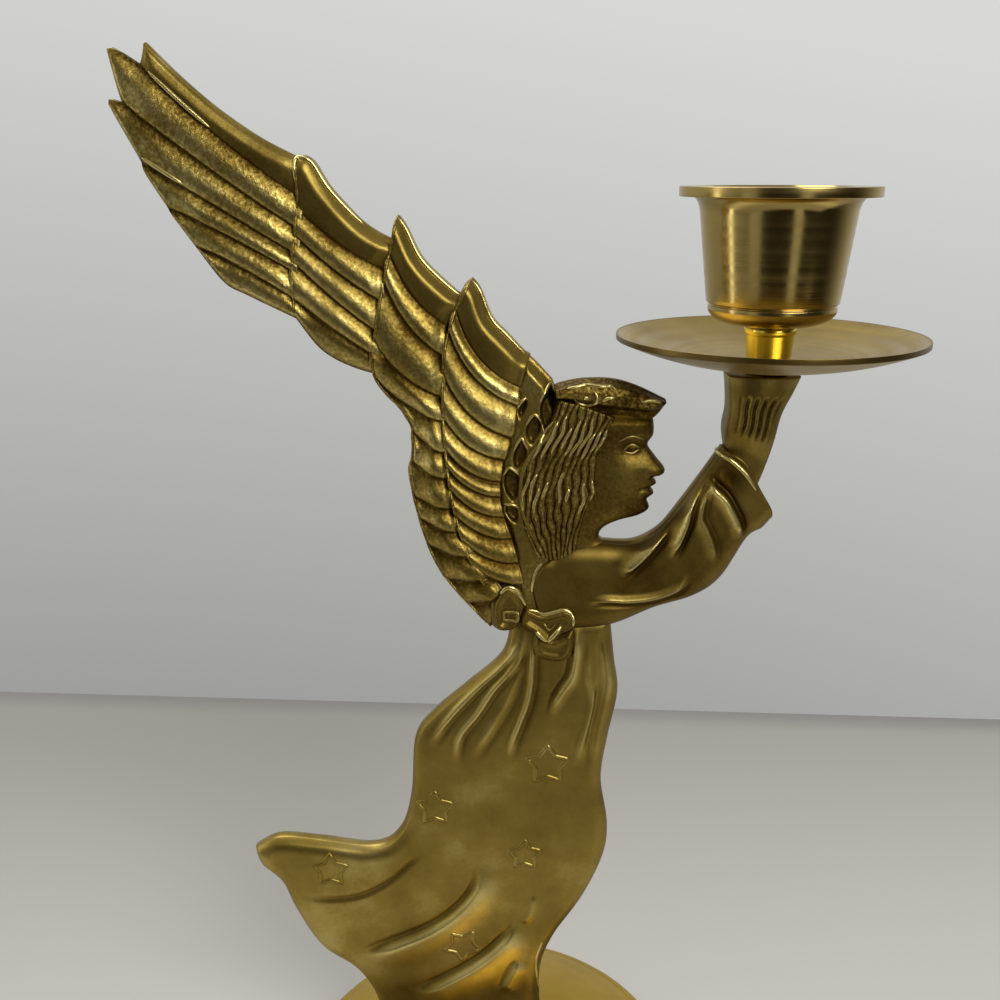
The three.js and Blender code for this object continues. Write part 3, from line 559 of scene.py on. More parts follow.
# A tier's relief: the section across each feather, a swell along it, and slow unevenness, all
# added up in millimetres. The first feather of a tier is dished instead of stepped. High places
# are polished.
relief, given, result = new_tree("feather relief", {
    "Tip Height": "Float", "Root Height": "Float", "Feather Rise": "Float", "Unevenness": "Float",
    "Grain": "Float", "Seed": "Float", "Material": "Material"})
field = {key: node(relief, "GeometryNodeInputNamedAttribute", {"Name": key})
         for key in ("across", "along", "first", "inside", "side")}
shingle, dished, swell = (
    drawn(node(relief, "ShaderNodeFloatCurve", {"Value": field[key]}), points) for key, points in (
        ("across", [(0, 0), (0.06, 0.04), (0.18, 0.3), (0.36, 0.72), (0.55, 0.97), (0.7, 1),
                    (0.86, 0.86), (0.95, 0.55), (1, 0)]),
        ("across", [(0, 0.7), (0.07, 0.68), (0.2, 0.63), (0.4, 0.56), (0.65, 0.47), (0.85, 0.36),
                    (0.95, 0.22), (1, 0)]),
        ("along", [(0, 0.1), (0.05, 0.5), (0.16, 0.95), (0.3, 0.95), (0.6, 0.55), (1, 0)])))
section = node(relief, "ShaderNodeMix", {
    0: field["first"], 2: shingle, 3: dished}, data_type="FLOAT")
body = node(relief, "ShaderNodeMapRange", {
    "Value": swell, "To Min": given["Tip Height"], "To Max": given["Root Height"]})
edge_width, smoother = (node(relief, "ShaderNodeMapRange", {
    "Value": field["first"], "To Min": rest, "To Max": first})
    for rest, first in ((4.5, 2.2), (1, 0.3)))
domed, near_edge = (node(relief, "ShaderNodeMapRange", {
    "Value": field["inside"], "From Max": width}, interpolation_type=ease)
    for width, ease in ((edge_width, "SMOOTHERSTEP"), (0.6, "SMOOTHSTEP")))
waves = node(relief, "ShaderNodeTexNoise", {
    "W": given["Seed"], "Scale": 1 / (4 * MM), "Detail": 3}, noise_dimensions="4D")
waves = node(relief, "ShaderNodeMapRange", {"Value": waves, "To Min": -1, "To Max": 1})
height = 0.0
for share, *factors in ((body, domed), (section, given["Feather Rise"], near_edge),
                        (waves, given["Unevenness"], near_edge)):
    for factor in factors:
        share = node(relief, "ShaderNodeMath", {0: share, 1: factor}, operation="MULTIPLY")
    height = node(relief, "ShaderNodeMath", {0: height, 1: share}, operation="ADD")
for factor in (field["side"], MM):
    height = node(relief, "ShaderNodeMath", {0: height, 1: factor}, operation="MULTIPLY")
lifted = node(relief, "GeometryNodeSetPosition", {
    "Geometry": given["Geometry"], "Offset": node(relief, "ShaderNodeCombineXYZ", {1: height})})
place = node(relief, "ShaderNodeSeparateXYZ", {0: node(relief, "GeometryNodeInputPosition")})
# The wing is also darker and duller lower down on the figure.
darker_lower_down = node(relief, "ShaderNodeMapRange", {
    "Value": place.outputs[2], "From Min": 100 * MM, "From Max": 136 * MM, "To Min": -0.3,
    "To Max": 0})
polish = node(relief, "ShaderNodeMapRange", {"Value": section, "To Min": 0.02, "To Max": 0.67})
polish = node(relief, "ShaderNodeMath", {
    0: polish, 1: darker_lower_down}, operation="ADD", use_clamp=True)
sandy = node(relief, "ShaderNodeMath", {0: given["Grain"], 1: smoother}, operation="MULTIPLY")
ended(relief, {"buff": polish, "grain": sandy}, lifted, given, result)

# A raised line: it is dropped on the ground's near face, gets a round section that can thin out at
# its ends, and is mirrored to the far face.
raised, given, result = new_tree("raised line", {
    "Ground": "Object", "Width": "Float", "Lift": "Float", "Pointed": "Float", "Step": "Float",
    "Buff": "Float", "Grain": "Float", "Material": "Material"})
curve = node(raised, "GeometryNodeMeshToCurve", {0: given["Geometry"]})
curve = node(raised, "GeometryNodeResampleCurve", {
    "Curve": curve, "Length": given["Step"]}, mode="LENGTH")
place = node(raised, "ShaderNodeSeparateXYZ", {0: node(raised, "GeometryNodeInputPosition")})
ground = node(raised, "GeometryNodeObjectInfo", {
    "Object": given["Ground"]}, transform_space="RELATIVE").outputs["Geometry"]
before = node(raised, "ShaderNodeCombineXYZ", {0: place, 1: -30 * MM, 2: place.outputs[2]})
ray = node(raised, "GeometryNodeRaycast", {
    "Target Geometry": ground, "Source Position": before, "Ray Direction": (0, 1, 0),
    "Ray Length": 60 * MM})
lift = node(raised, "ShaderNodeMath", {0: given["Lift"], 1: -MM}, operation="MULTIPLY")
curve = node(raised, "GeometryNodeSetPosition", {
    "Geometry": curve, "Selection": ray.outputs["Is Hit"], "Position": ray.outputs["Hit Position"],
    "Offset": node(raised, "ShaderNodeCombineXYZ", {1: lift})})
share = node(raised, "GeometryNodeSplineParameter").outputs["Factor"]
point = drawn(node(raised, "ShaderNodeFloatCurve", {"Value": share}), [
    (0, 0.15), (0.12, 0.75), (0.35, 1), (0.65, 1), (0.88, 0.75), (1, 0.15)])
thick = node(raised, "ShaderNodeMix", {0: given["Pointed"], 2: 1.0, 3: point}, data_type="FLOAT")
radius = given["Width"]
for factor in (0.5 * MM, thick):
    radius = node(raised, "ShaderNodeMath", {0: radius, 1: factor}, operation="MULTIPLY")
outline = node(raised, "GeometryNodeCurvePrimitiveCircle", {"Resolution": 8, "Radius": 1.0})
curve = node(raised, "GeometryNodeSetCurveRadius", {"Curve": curve, "Radius": radius})
tube = node(raised, "GeometryNodeCurveToMesh", {
    "Curve": curve, "Profile Curve": outline, "Fill Caps": True,
    "Scale": node(raised, "GeometryNodeInputRadius")})
back = node(raised, "GeometryNodeTransform", {"Geometry": tube, "Scale": (1, -1, 1)})
back = node(raised, "GeometryNodeFlipFaces", {0: back})
both = node(raised, "GeometryNodeJoinGeometry")
feed(raised, both, {0: tube})
feed(raised, both, {0: back})
even = node(raised, "GeometryNodeSetShadeSmooth", {"Geometry": both})
ended(raised, {"buff": given["Buff"], "grain": given["Grain"]}, even, given, result)


def raised_lines(lines, ground, width, lift=0, pointed=1, closed=False, buff=0.9, grain=0.1):
    """Thin raised lines laid on both faces of a plate, such as rims, strands and outlines, of this
    width and this much clear of the plate, in millimetres."""
    verts, edges = [], []
    for line in lines:
        points = evenly(line, max(12, 12 * len(line)))[:-1 if closed else None]
        first = len(verts)
        verts += [((x + figure_axis) * MM, 0, (z + figure_foot) * MM) for x, z in points]
        edges += [(first + k, first + k + 1) for k in range(len(points) - 1)]
        if closed:
            edges.append((len(verts) - 1, first))
    mesh = bpy.data.meshes.new("lines")
    mesh.from_pydata(verts, edges, [])
    return shaped(new_object("lines", mesh), raised, {
        "Ground": ground, "Width": float(width), "Lift": float(lift), "Pointed": float(pointed),
        "Step": 0.35 * MM, "Buff": float(buff), "Grain": float(grain), "Material": cast_brass})


def cast(name, pieces):
    """Finishes a piece of the cast figure."""
    fitted(joined(name, pieces), cast_brass, "angel_figure")


# Each tier: its upper and lower silhouettes, the lines of its roots and tips between these, how
# wide each feather is there, how much the first and the last feather bow, how far each tip reaches
# out, and its bright rims as (share of the length where the rim starts, column of the grid,
# columns round the tip). Then come its height at tip and root, the rise of a feather, its grain,
# the columns of its grid, and the height on the figure under which its tips are free edges.
tiers = [
    dict(top=[(-29.2, 170.6), (-34.7, 173.4), (-40.9, 177.6), (-46.2, 182.1), (-51.3, 187.1)],
         bottom=[(-30.2, 145.6), (-38, 149.4), (-41.6, 151.4), (-45.1, 156)],
         roots=[(-30.3, 160.2), (-30.9, 153.6)],
         tips=[(-52.2, 184), (-55.4, 178.6), (-53.2, 169.8), (-49.7, 163)],
         root_widths=[5.3, 5, 4, 2.9, 4.6, 3.2], tip_widths=[3.3, 6.4, 9.1, 7.7, 7.2, 1.3],
         bow=(0.04, -0.045), reach=[0, 5.4, 3.6, 0.8, 0.7, 0], rims=[(0.55, 11, 0), (0.72, 39, 0)],
         tip=0.45, root=0.9, rise=0.85, grain=0.8, columns=84, free_tips=300),
    dict(top=[(-13.5, 157.5), (-18.7, 160.4), (-24.1, 165.8), (-26.9, 170.2), (-28.9, 170.8)],
         bottom=[(-17.1, 136.4), (-21.3, 137.7), (-24.7, 139.3), (-27.4, 141.5), (-30.8, 146.2)],
         roots=[(-16.7, 154), (-16.7, 148.8), (-17.2, 143.7)],
         tips=[(-29.3, 162.8), (-30.5, 154.7)],
         root_widths=[5, 5.6, 5.3, 4.3, 3], tip_widths=[8, 4.1, 4.1, 6, 2.6],
         bow=(0.05, 0), reach=[0.8, 0.5, 0.5, 0.5, 0.3], rims=[(0.3, 1, 9)],
         tip=0.8, root=1.5, rise=0.9, grain=0.55, columns=60, free_tips=0),
    dict(top=[(-2.5, 148.5), (-6, 151.2), (-10.1, 155.3), (-12.4, 160.1), (-13.6, 161.8)],
         bottom=[(5, 96), (3.4, 94.6), (2, 93.2), (0.8, 91.8)],
         roots=[(-6.6, 145.6), (-7.2, 135.7), (-6.6, 127.2), (-6.1, 117.9), (-3.8, 108.9)],
         tips=[(-16.6, 148.8), (-18.3, 137), (-13.2, 129.9), (-12, 125), (-12.5, 117.5),
               (-8.3, 103.1)],
         root_widths=[5, 4.7, 6.3, 3.7, 4.8, 3.9, 4.7, 3.9, 4.5, 4, 3.7, 2.6],
         tip_widths=[5.3, 4, 9, 5.5, 10, 4.6, 5.6, 3.5, 4.7, 6.4, 5.4, 5.2],
         bow=(0.09, 0.05), reach=[0.3, 0.4, 0.4, 0.4, 0.4, 0.4, 0.3, 0.2, 0.2, 0.2, 0.1, 0.1],
         rims=[(0.1, 1, 3)], tip=1.3, root=2, rise=0.95, grain=0.6, columns=44, free_tips=136),
    dict(top=[(6.5, 140.2), (3.6, 143.2), (1.1, 145.9), (-0.6, 150.2), (-1.9, 152)],
         bottom=[(6.9, 97), (5.5, 96.8), (3, 97.6), (1.2, 98)],
         roots=[(5, 135.7), (3.9, 128.4), (2.1, 120.9), (2.1, 114.6), (4.4, 106.9)],
         tips=[(-4.5, 147.8), (-6.6, 140.4), (-6.9, 131.2), (-6.5, 123.1), (-5.4, 114.5),
               (-2.8, 105.4)],
         root_widths=[5, 3, 5.3, 3.8, 3.6, 2.5, 3.5, 3.8, 4.3, 3.8, 3.3],
         tip_widths=[5.1, 3.6, 6.8, 7.3, 5.1, 3.1, 3.7, 4.6, 4.6, 4.4, 6.8],
         bow=(0.12, 0.10), reach=[0.3] * 11, rims=[(0.05, 1, 3)],
         tip=1.8, root=2.4, rise=0.95, grain=0.55, columns=44, free_tips=0),
]
tip_direction = np.array((-0.68, 0.73))
root_lap = 0.06
feather_rows = np.array([
    0, 0.035, 0.08, 0.14, 0.22, 0.31, 0.41, 0.52, 0.63, 0.73, 0.82, 0.89, 0.94, 0.975])


def side_distance(spot):
    """How far each place of a grid is from the grid's first and last columns."""
    return np.minimum(distance(spot, spot[:, 0])[0], distance(spot, spot[:, -1])[0])


def bowed(tier, u, v):
    """Places on a tier before its silhouettes are trued: arcs from root line to tip line."""
    roots, tips = ([tier["top"][k], *tier[line], tier["bottom"][k]]
                   for k, line in ((0, "roots"), (-1, "tips")))
    start = shared_out(roots, tier["root_widths"], v)
    chord = shared_out(tips, tier["tip_widths"], v) - start
    across = np.stack([-chord[..., 1], chord[..., 0]], -1)
    bow = (tier["bow"][0] + (tier["bow"][1] - tier["bow"][0]) * v)[..., None]
    return start + chord * u[..., None] + across * bow * (4 * u * (1 - u))[..., None]


def tier_blank(tier):
    """A tier as a flat plate whose grid follows its feathers, and that grid."""
    count = len(tier["root_widths"])
    v = np.append((np.arange(count)[:, None] + feather_rows).reshape(-1), count) / count
    across = np.append(np.tile(feather_rows, count), 1)
    number = np.append(np.repeat(np.arange(count), len(feather_rows)), count - 1)
    u = np.linspace(-root_lap, 1, tier["columns"])
    u, v = np.meshgrid(u, v, indexing="ij")
    shown = np.maximum(u, 0)
    spot = bowed(tier, u, v)
    upper = spline(tier["top"], shown) - bowed(tier, shown, v * 0)
    lower = spline(tier["bottom"], shown) - bowed(tier, shown, v * 0 + 1)
    spot = spot + upper * np.clip(1 - v * count, 0, 1)[..., None]
    spot = spot + lower * np.clip(1 - (1 - v) * count, 0, 1)[..., None]
    lobe = np.where(across < 0.3, np.sin(across / 0.3 * math.pi / 2), (1 - across) / 0.7)
    lobe = np.array(tier["reach"])[number] * np.clip(lobe, 0, 1) ** 1.2
    spot = spot + tip_direction * (lobe * smooth(u, 0.7, 1))[..., None]
    tips = spot[-1][spot[-1][:, 1] < tier["free_tips"]]
    inside = side_distance(spot)
    if len(tips):
        inside = np.minimum(inside, distance(spot, tips)[0])
    fields = {
        "across": across, "along": shown, "inside": inside, "first": (number == 0).astype(float)}
    return plate("tier", spot, plate_edge, fields), spot


wing = []
for number, tier in enumerate(tiers):
    blank, spot = tier_blank(tier)
    feathers = shaped(blank, relief, {
        "Tip Height": tier["tip"], "Root Height": tier["root"], "Feather Rise": tier["rise"],
        "Unevenness": 0.12, "Grain": tier["grain"], "Seed": float(number), "Material": cast_brass})
    rims = [np.concatenate([
        spot[int(start * len(spot)):-2:4, column], spot[-2, column:column + wrap:3]])
        for start, column, wrap in tier["rims"]]
    wing += [feathers, raised_lines(rims, feathers, 0.8, 0, buff=1, grain=0.4)]
    if number:
        wing.append(raised_lines([spot[-2, 3::7]], feathers, 0.5, 0, pointed=0, buff=0.4, grain=1))
cast("angel_wing", wing)

# The coverts between the wing's roots and the hair: a plate with small pointed pockets, each under
# a bright raised edge.


def coons(top, bottom, start, end, rows, columns):
    """A grid between four edges. Its top and bottom edges run from the start edge to the end one,
    and these two are given without the ends that they share with them."""
    u, v = np.meshgrid(np.linspace(0, 1, rows), np.linspace(0, 1, columns), indexing="ij")
    a, b = evenly(top, rows)[:, None], evenly(bottom, rows)[:, None]
    c, d = (evenly([top[k], *edge, bottom[k]], columns)[None]
            for k, edge in ((0, start), (-1, end)))
    s, t = u[..., None], v[..., None]
    spot = (a * (1 - t) + b * t + c * (1 - s) + d * s - c[:, :1] * (1 - s) * (1 - t)
            - c[:, -1:] * (1 - s) * t - d[:, :1] * s * (1 - t) - d[:, -1:] * s * t)
    return spot, u, v


def rim_distance(spot):
    """How far each place of a grid is from the grid's own edge."""
    edge = np.concatenate([spot[:, 0], spot[-1, 1:], spot[-2::-1, -1], spot[0, -2::-1]])
    return distance(spot, edge)[0]


def within(spot, outline):
    """How far inside a closed outline each place is, 0 outside it."""
    closed = np.array([*outline, outline[0]], float)
    odd = np.zeros(spot.shape[:-1], bool)
    for (ax, az), (bx, bz) in zip(closed, closed[1:]):
        if az != bz:
            crossed = (az > spot[..., 1]) != (bz > spot[..., 1])
            odd ^= crossed & (spot[..., 0] < ax + (spot[..., 1] - az) / (bz - az) * (bx - ax))
    return np.where(odd, distance(spot, closed)[0], 0)


shoulder_spot, _, _ = coons(
    [(6.5, 140.2), (8.6, 138.2), (11, 135.6)], [(5, 93), (9, 91.5), (12, 91)],
    [(4.4, 135.7), (3.3, 128.4), (1.5, 120.9), (1.5, 114.6), (3.8, 106.9)],
    [(14, 125), (12, 112), (13, 100)], 50, 170)
pockets = [
    [(10.8, 135.1), (9.6, 133.3), (9, 131.7), (9, 129.8), (9.5, 128), (10.3, 126.5), (11.4, 128),
     (12, 129.8), (12, 132.1), (11.6, 133.7)],
    [(8.1, 130.2), (6.9, 128.7), (6.6, 127.2), (7, 125.7), (7.8, 124.8), (8.7, 125.9),
     (9.4, 127.2), (9.5, 128.7), (8.8, 129.7)],
    [(6, 126.2), (5, 124.6), (4.6, 123.1), (4.7, 121.6), (5.3, 120.5), (6.1, 121.2), (6.9, 122.3),
     (7.2, 123.7), (6.8, 125.2)],
    [(4, 121.2), (3.1, 119.9), (3, 118.1), (3.5, 116.6), (4.7, 115), (5.7, 116), (5.9, 117.8),
     (5.8, 119.7), (5, 120.6)],
    [(3.3, 114.7), (3.2, 113.3), (4, 112), (5.3, 111.2), (5.8, 112.5), (5.7, 114), (4.5, 114.7)],
    [(6.8, 133), (5.7, 132), (5.3, 130.6), (5.6, 129.2), (6.5, 129.8), (7, 131.3), (7.2, 132.5)],
]
brows = [
    [(9, 132.3), (9.6, 133.5), (10.8, 135.2), (11.4, 134.1), (11.9, 133.1)],
    [(6.7, 128.4), (7.4, 129.5), (8.1, 130.3), (8.7, 129.9), (9.3, 129.1)],
    [(4.7, 124), (5.3, 125.3), (6, 126.3), (6.6, 125.5), (7.1, 124.4)],
    [(3, 119.8), (3.5, 120.7), (4, 121.3), (4.8, 120.8), (5.7, 120)],
    [(3, 115), (3.7, 114.8), (4.6, 114.8), (5.6, 114.3)],
    [(5.3, 131.2), (5.9, 132.3), (6.8, 133.1)],
]
shoulder_half = plate_edge + 2 * smooth(rim_distance(shoulder_spot), 0, 2)
shoulder_buff = 0.46
for pocket in pockets:
    sunk = smooth(within(shoulder_spot, pocket), 0, 0.6)
    shoulder_half -= 1.3 * sunk
    shoulder_buff -= 0.36 * sunk
shoulder = plate("shoulder", shoulder_spot, shoulder_half, {
    "buff": np.clip(shoulder_buff, 0, 1), "grain": 0.5})
cast("angel_coverts", [shoulder, raised_lines(brows, shoulder, 0.55, 0.1)])

# The gown, part of the same casting: a plate that is thicker over the feet and round the foot
# screw. Pleats fall from the bow, stars stand up in outline, and creases mark the turned hem.


def crease(spot, line, wide, narrow, trough=0):
    """A fold along a line: 1 on it, falling off over one width to its left and another to its
    right, where it can end in a trough."""
    gap, along, side = distance(spot, evenly(line, 36))
    width = np.where(side > 0, wide, narrow)
    sunk = trough * np.exp(-((gap / narrow - 2.1) / 0.9) ** 2) * (side < 0)
    ends = smooth(np.minimum(along, 1 - along), -0.001, 0.22)
    return (np.exp(-(gap / width) ** 2) - sunk) * ends


def fold_up(spot, half, buff, inside, folds):
    """Adds folds, each as (line, wide, narrow, trough, rise, polish), to a plate's half thickness
    and to its polish."""
    for line, wide, narrow, trough, rise, polish in folds:
        crest = crease(spot, line, wide, narrow, trough) * smooth(inside, 0, 1.2)
        half += rise * crest
        buff += polish * crest


def quarter_round(inside, width):
    """The rounding of a plate's edge: 0 at the edge and 1 from this distance inside it."""
    return np.sqrt(1 - (1 - np.clip(inside / width, 0, 1)) ** 2)


def mound(spot, middle, size):
    """1 at a place, falling off over this width and height."""
    return np.exp(-np.sum(((spot - np.array(middle)) / size) ** 2, axis=-1))


gown_spot, _, _ = coons(
    [(4.6, 93.5), (3.1, 86.5), (-3.7, 80), (-9.2, 75), (-12.7, 69.8), (-13.7, 58.4), (-16, 50.6),
     (-21, 47.1), (-31, 48.3), (-38.8, 49), (-43.2, 46.8)],
    [(21.7, 93.5), (22.6, 85.6), (23.4, 79), (21.8, 69.6), (20.9, 61.4), (22.3, 51.9), (21.6, 45),
     (18, 36.3), (12.6, 27.4), (10.1, 19.6), (10.4, 9), (12.5, 0)],
    [], [(-42.4, 43.6), (-38.7, 39.7), (-36.3, 33.5), (-31.9, 25.5), (-25.8, 20.6), (-22.3, 15.4),
         (-20, 8), (-17, 0), (-1, 0)], 240, 150)
inside = rim_distance(gown_spot)
x, z = gown_spot[..., 0], gown_spot[..., 1]
feet = smooth(18 - z, 0, 14) * np.exp(-((x - 1) / 13) ** 4)
gown_half = plate_edge + 1.5 * quarter_round(inside, 2.6) + 1.8 * feet * smooth(inside, 0, 4)
# Painted shade darkens the gown towards its bottom. It is also lighter towards the train's end and
# darker in a patch below the bow, and its folds are polished.
gown_buff_and_painted_shade = 0.45 - 0.3 * smooth(21 - z, 0, 6) + 0.1 * smooth(-14 - x, 0, 10)
gown_buff_and_painted_shade -= 0.16 * mound(gown_spot, (9.5, 79), (6, 10))
fold_up(gown_spot, gown_half, gown_buff_and_painted_shade, inside, [
    ([(-12, 72.8), (-9.6, 75.9), (-5.8, 79.7), (-1.6, 83), (1.6, 86.1), (4.3, 89.5), (5.4, 92)],
     0.45, 0.45, 0, 0.4, 0.35),
    ([(-10.6, 69.1), (-7.7, 73.3), (-4.9, 76.9), (-1.2, 81), (2, 84.1), (5.2, 88.1), (6.6, 92)],
     0.5, 0.6, 0.6, 0.5, 0.4),
    ([(-5.7, 64.9), (-5.5, 68.6), (-4.5, 71.7), (-1.7, 75.4), (1.1, 80), (3.9, 83.6), (6, 87.5),
      (7, 91.5)], 0.5, 0.6, 0.6, 0.5, 0.4),
    ([(-3.1, 66), (-1.2, 69.4), (1.1, 73.3), (3.4, 77.5), (4.8, 81.5), (6, 86), (7.3, 91)],
     0.9, 0.7, 0.5, 0.35, 0.2),
    ([(4, 66), (4.4, 69.2), (5.8, 73.3), (7.2, 77.5), (7.9, 81.5), (8, 85.6), (8.1, 91.5)],
     0.5, 0.6, 0.5, 0.6, 0.45),
    ([(15.6, 92.5), (15.8, 89.4), (15.8, 86.1), (15.2, 82.6), (13.6, 80), (12.3, 77.5),
      (11.6, 74.9)], 0.9, 0.5, 0.5, 0.65, 0.45),
    ([(18, 90.1), (18.1, 83.1), (19, 78.5), (18.4, 73.9), (17.1, 69.2), (16.2, 64.4)],
     0.6, 0.6, 0, 0.35, 0.2),
    ([(20.2, 91.1), (19.9, 87.6), (20.2, 82.6), (19.7, 77.5), (18.6, 71), (18.2, 64)],
     0.6, 0.6, 0, -0.4, 0.05),
    ([(21.3, 91.1), (21.2, 87.6), (21.8, 82.6), (21.2, 77.5), (20, 71), (19.8, 64)],
     0.9, 0.9, 0, 0.4, 0.15),
    ([(-0.4, 44.9), (-1.6, 38.6), (-5.2, 33.6), (-10.2, 29.6), (-16.3, 26.6), (-24.3, 23.2)],
     3.4, 0.7, 0.5, 0.9, 0.45),
    ([(6.5, 31.3), (3.6, 26.9), (-1, 22.3), (-5.7, 19), (-10.4, 16.4), (-14.5, 14.9)],
     3.4, 0.7, 0.5, 0.9, 0.45),
    ([(6.5, 22.6), (4.8, 19.7), (3, 15.8)], 1.6, 0.5, 0.5, 0.6, 0.25),
    ([(8.9, 37.5), (8.3, 33.8), (6.7, 31.1)], 0.8, 0.5, 0, 0.35, 0.1),
    ([(-35.4, 37.4), (-31.3, 36.6), (-24.4, 37.2), (-18.8, 40.1), (-14.2, 44.4), (-11.4, 47)],
     0.45, 0.45, 0, -0.4, -0.3),
])
gown = plate("gown", gown_spot, gown_half, {"buff": np.clip(gown_buff_and_painted_shade, 0, 1), "grain": 0.08})


def star(x, z, radius, tip=90):
    """The outline of a five-pointed star with one tip at this angle."""
    angles = math.radians(tip) + np.arange(11) * math.pi / 5
    reach = np.where(np.arange(11) % 2, radius * 0.58, radius)
    return [(x + r * math.cos(a), z + r * math.sin(a)) for r, a in zip(reach, angles)]


def sharp_lines(lines, ground, width, lift, buff=0.7):
    """Raised lines with straight sides and sharp corners."""
    straight = [[tuple(np.array(a) + (np.array(b) - np.array(a)) * t)
                 for a, b in zip(line, line[1:]) for t in (0, 0.15, 0.85)] + [line[-1]]
                for line in lines]
    return raised_lines(straight, ground, width, lift, pointed=0, closed=True, buff=buff)


stars = sharp_lines([
    star(11.1, 65.2, 3.9), star(-9.5, 56.2, 3.4), star(7.1, 46.3, 3.1),
    star(-4.7, 26.4, 3.6, tip=-90), star(-29.3, 42.9, 3.4)], gown, 1.0, -0.24, buff=0.52)
foot_rim = raised_lines(
    [[(10.6, 27), (9.4, 22.6), (9.7, 17.8), (10.4, 13.4)]], gown, 0.6, -0.05, buff=1)
cast("angel_gown", [gown, stars, foot_rim])

# The face in profile, a plain one set out by the usual thirds of a head, with the neck below it.
# It is part of the same casting, smooth from the buffing wheel.

head_height, head_crown, face_front = 24, 136.4, 28


def at_face(reach, share):
    """A place on the face, by its reach past the brow and its share of the head's height down."""
    return face_front + reach, head_crown - share * head_height


def ridge(spot, line, width, fade=0.15):
    """1 on a smooth line and less away from it. It fades in and out at the line's ends."""
    gap, along, _ = distance(spot, evenly(line, 30))
    return np.exp(-(gap / width) ** 2) * smooth(np.minimum(along, 1 - along), -0.001, fade)


profile = [at_face(reach, share) for reach, share in (
    (-1.2, 0.2), (-0.2, 0.3), (0, 0.41), (-0.9, 0.49), (0.5, 0.58), (2.1, 0.665), (1.7, 0.705),
    (0.2, 0.725), (0.8, 0.765), (-0.1, 0.8), (0.4, 0.84), (-0.7, 0.885), (-0.3, 0.95), (-2, 1))]
profile += [(22.8, 111.5), (20.4, 110.4), (19.4, 109.2), (19.6, 108), (21.5, 107)]
face_spot, _, _ = coons([(14, 131.6), profile[0]], [(13, 104.5), profile[-1]], [],
                        profile[1:-1], 44, 120)
inside = distance(face_spot, evenly(profile, 160))[0]
face_half = plate_edge + 1.9 * quarter_round(inside, 5)
eye = np.array(at_face(-3.3, 0.505))
socket, ball = mound(face_spot, eye, (2.2, 1.5)), mound(face_spot, eye, (1.1, 0.8))
cheek = mound(face_spot, at_face(-5, 0.72), (3, 2.6))
wing_of_nose = mound(face_spot, at_face(0.1, 0.69), (0.8, 0.6))
mouth = ridge(face_spot, [at_face(0.6, 0.8), at_face(-1, 0.8), at_face(-2.4, 0.806)], 0.3, 0.05)
face_half += 0.6 * ball - 0.7 * socket + 0.3 * cheek + 0.4 * wing_of_nose - 0.35 * mouth
# Under the cap's brim the face is set back, and its colour there is darker, a painted shadow of
# the brim.
under_brim = smooth((head_crown - face_spot[..., 1]) / head_height, 0.34, 0.26)
face_half -= 0.8 * under_brim
face = plate("face", face_spot, face_half, {
    "buff": np.clip(0.14 - 0.2 * socket + 0.08 * cheek - 0.2 * under_brim, 0, 1), "grain": 0.3})
lids = raised_lines([
    [eye + (-1.7, -0.3), eye + (-0.4, 0.75), eye + (1.2, 0.1)],
    [eye + (-1.6, -0.4), eye + (-0.2, -0.75), eye + (1.1, 0)],
    [eye + (-2.6, 1.3), eye + (-0.4, 2.2), eye + (1.9, 1.5)]], face, 0.42, -0.05, buff=0.6)
cast("angel_face", [face, lids])

# The hair, cast with the figure: long wavy locks that hang from under the cap to the shoulder,
# with a thin raised rim along the back of the head.

hair_spot, u, v = coons(
    [(12.1, 132.6), (10.6, 128.4), (8.4, 125.3), (6.7, 122.1), (6, 118.4), (5.8, 114.7),
     (6.5, 110.5), (8.6, 105.6)],
    [(21.4, 129.6), (19.6, 125.3), (18.8, 122.3), (18.6, 118.9), (17.9, 115.8), (16.7, 112.3),
     (15.5, 106.5)],
    [(16.6, 131.4)], [(12, 105.2)], 110, 121)
lock_count, lock_wave = 10, 0.035


def waving(u, share):
    """How far a lock swings to one side, as a share of the hair's width, along its length."""
    return lock_wave * np.sin(10 * u + 5 * share) + 0.4 * lock_wave * np.sin(33 * u + 19 * share)


combed = np.abs(np.sin(math.pi * lock_count * (v + waving(u, v)))) ** 0.8
strand = np.abs(np.sin(math.pi * 3 * lock_count * (v + waving(u, v))))
combed = (0.7 * combed + 0.3 * strand) * smooth(np.minimum(v, 1 - v), 0, 0.05)
hair_half = plate_edge + 1.7 + 0.4 * (1 - np.abs(2 * v - 1) ** 8) + 0.6 * combed
hair = plate("hair", hair_spot, hair_half, {"buff": 0.06 + 0.5 * combed ** 1.5, "grain": 0.9})


def lock(number, start, end):
    """A line of places down the crest of one lock."""
    u = np.linspace(start, end, 16)
    share = (number + 0.5) / lock_count
    v = np.clip(share - waving(u, share), 0, 1)
    rows, columns = hair_spot.shape[:2]
    return hair_spot[(u * (rows - 1)).round().astype(int), (v * (columns - 1)).round().astype(int)]


luck = np.random.default_rng(7)
strands = [lock(number, start + 0.12 * luck.random(), start + length * (0.6 + 0.4 * luck.random()))
           for number in range(lock_count) for start, length in ((0.02, 0.38), (0.42, 0.3))
           if luck.random() < 0.7]
strand_lines = raised_lines(strands, hair, 0.65, -0.05, buff=0.85, grain=0.6)
rim_line = raised_lines([
    [(12.1, 132), (11.9, 129.8), (11.2, 127.8), (10.1, 126.1), (8.2, 124.2), (7, 122.3),
     (6.2, 120.1), (6, 117.8), (6.1, 115), (6.7, 112.3), (7.9, 109.6), (8.9, 107.4)]],
    shoulder, 0.8, 0.15, pointed=0.5, buff=0.55)
cast("angel_hair", [hair, strand_lines, rim_line])

# The cap on the head, a soft band whose brim ends in a point over the brow, with a curl on its
# side. It is part of the same casting.

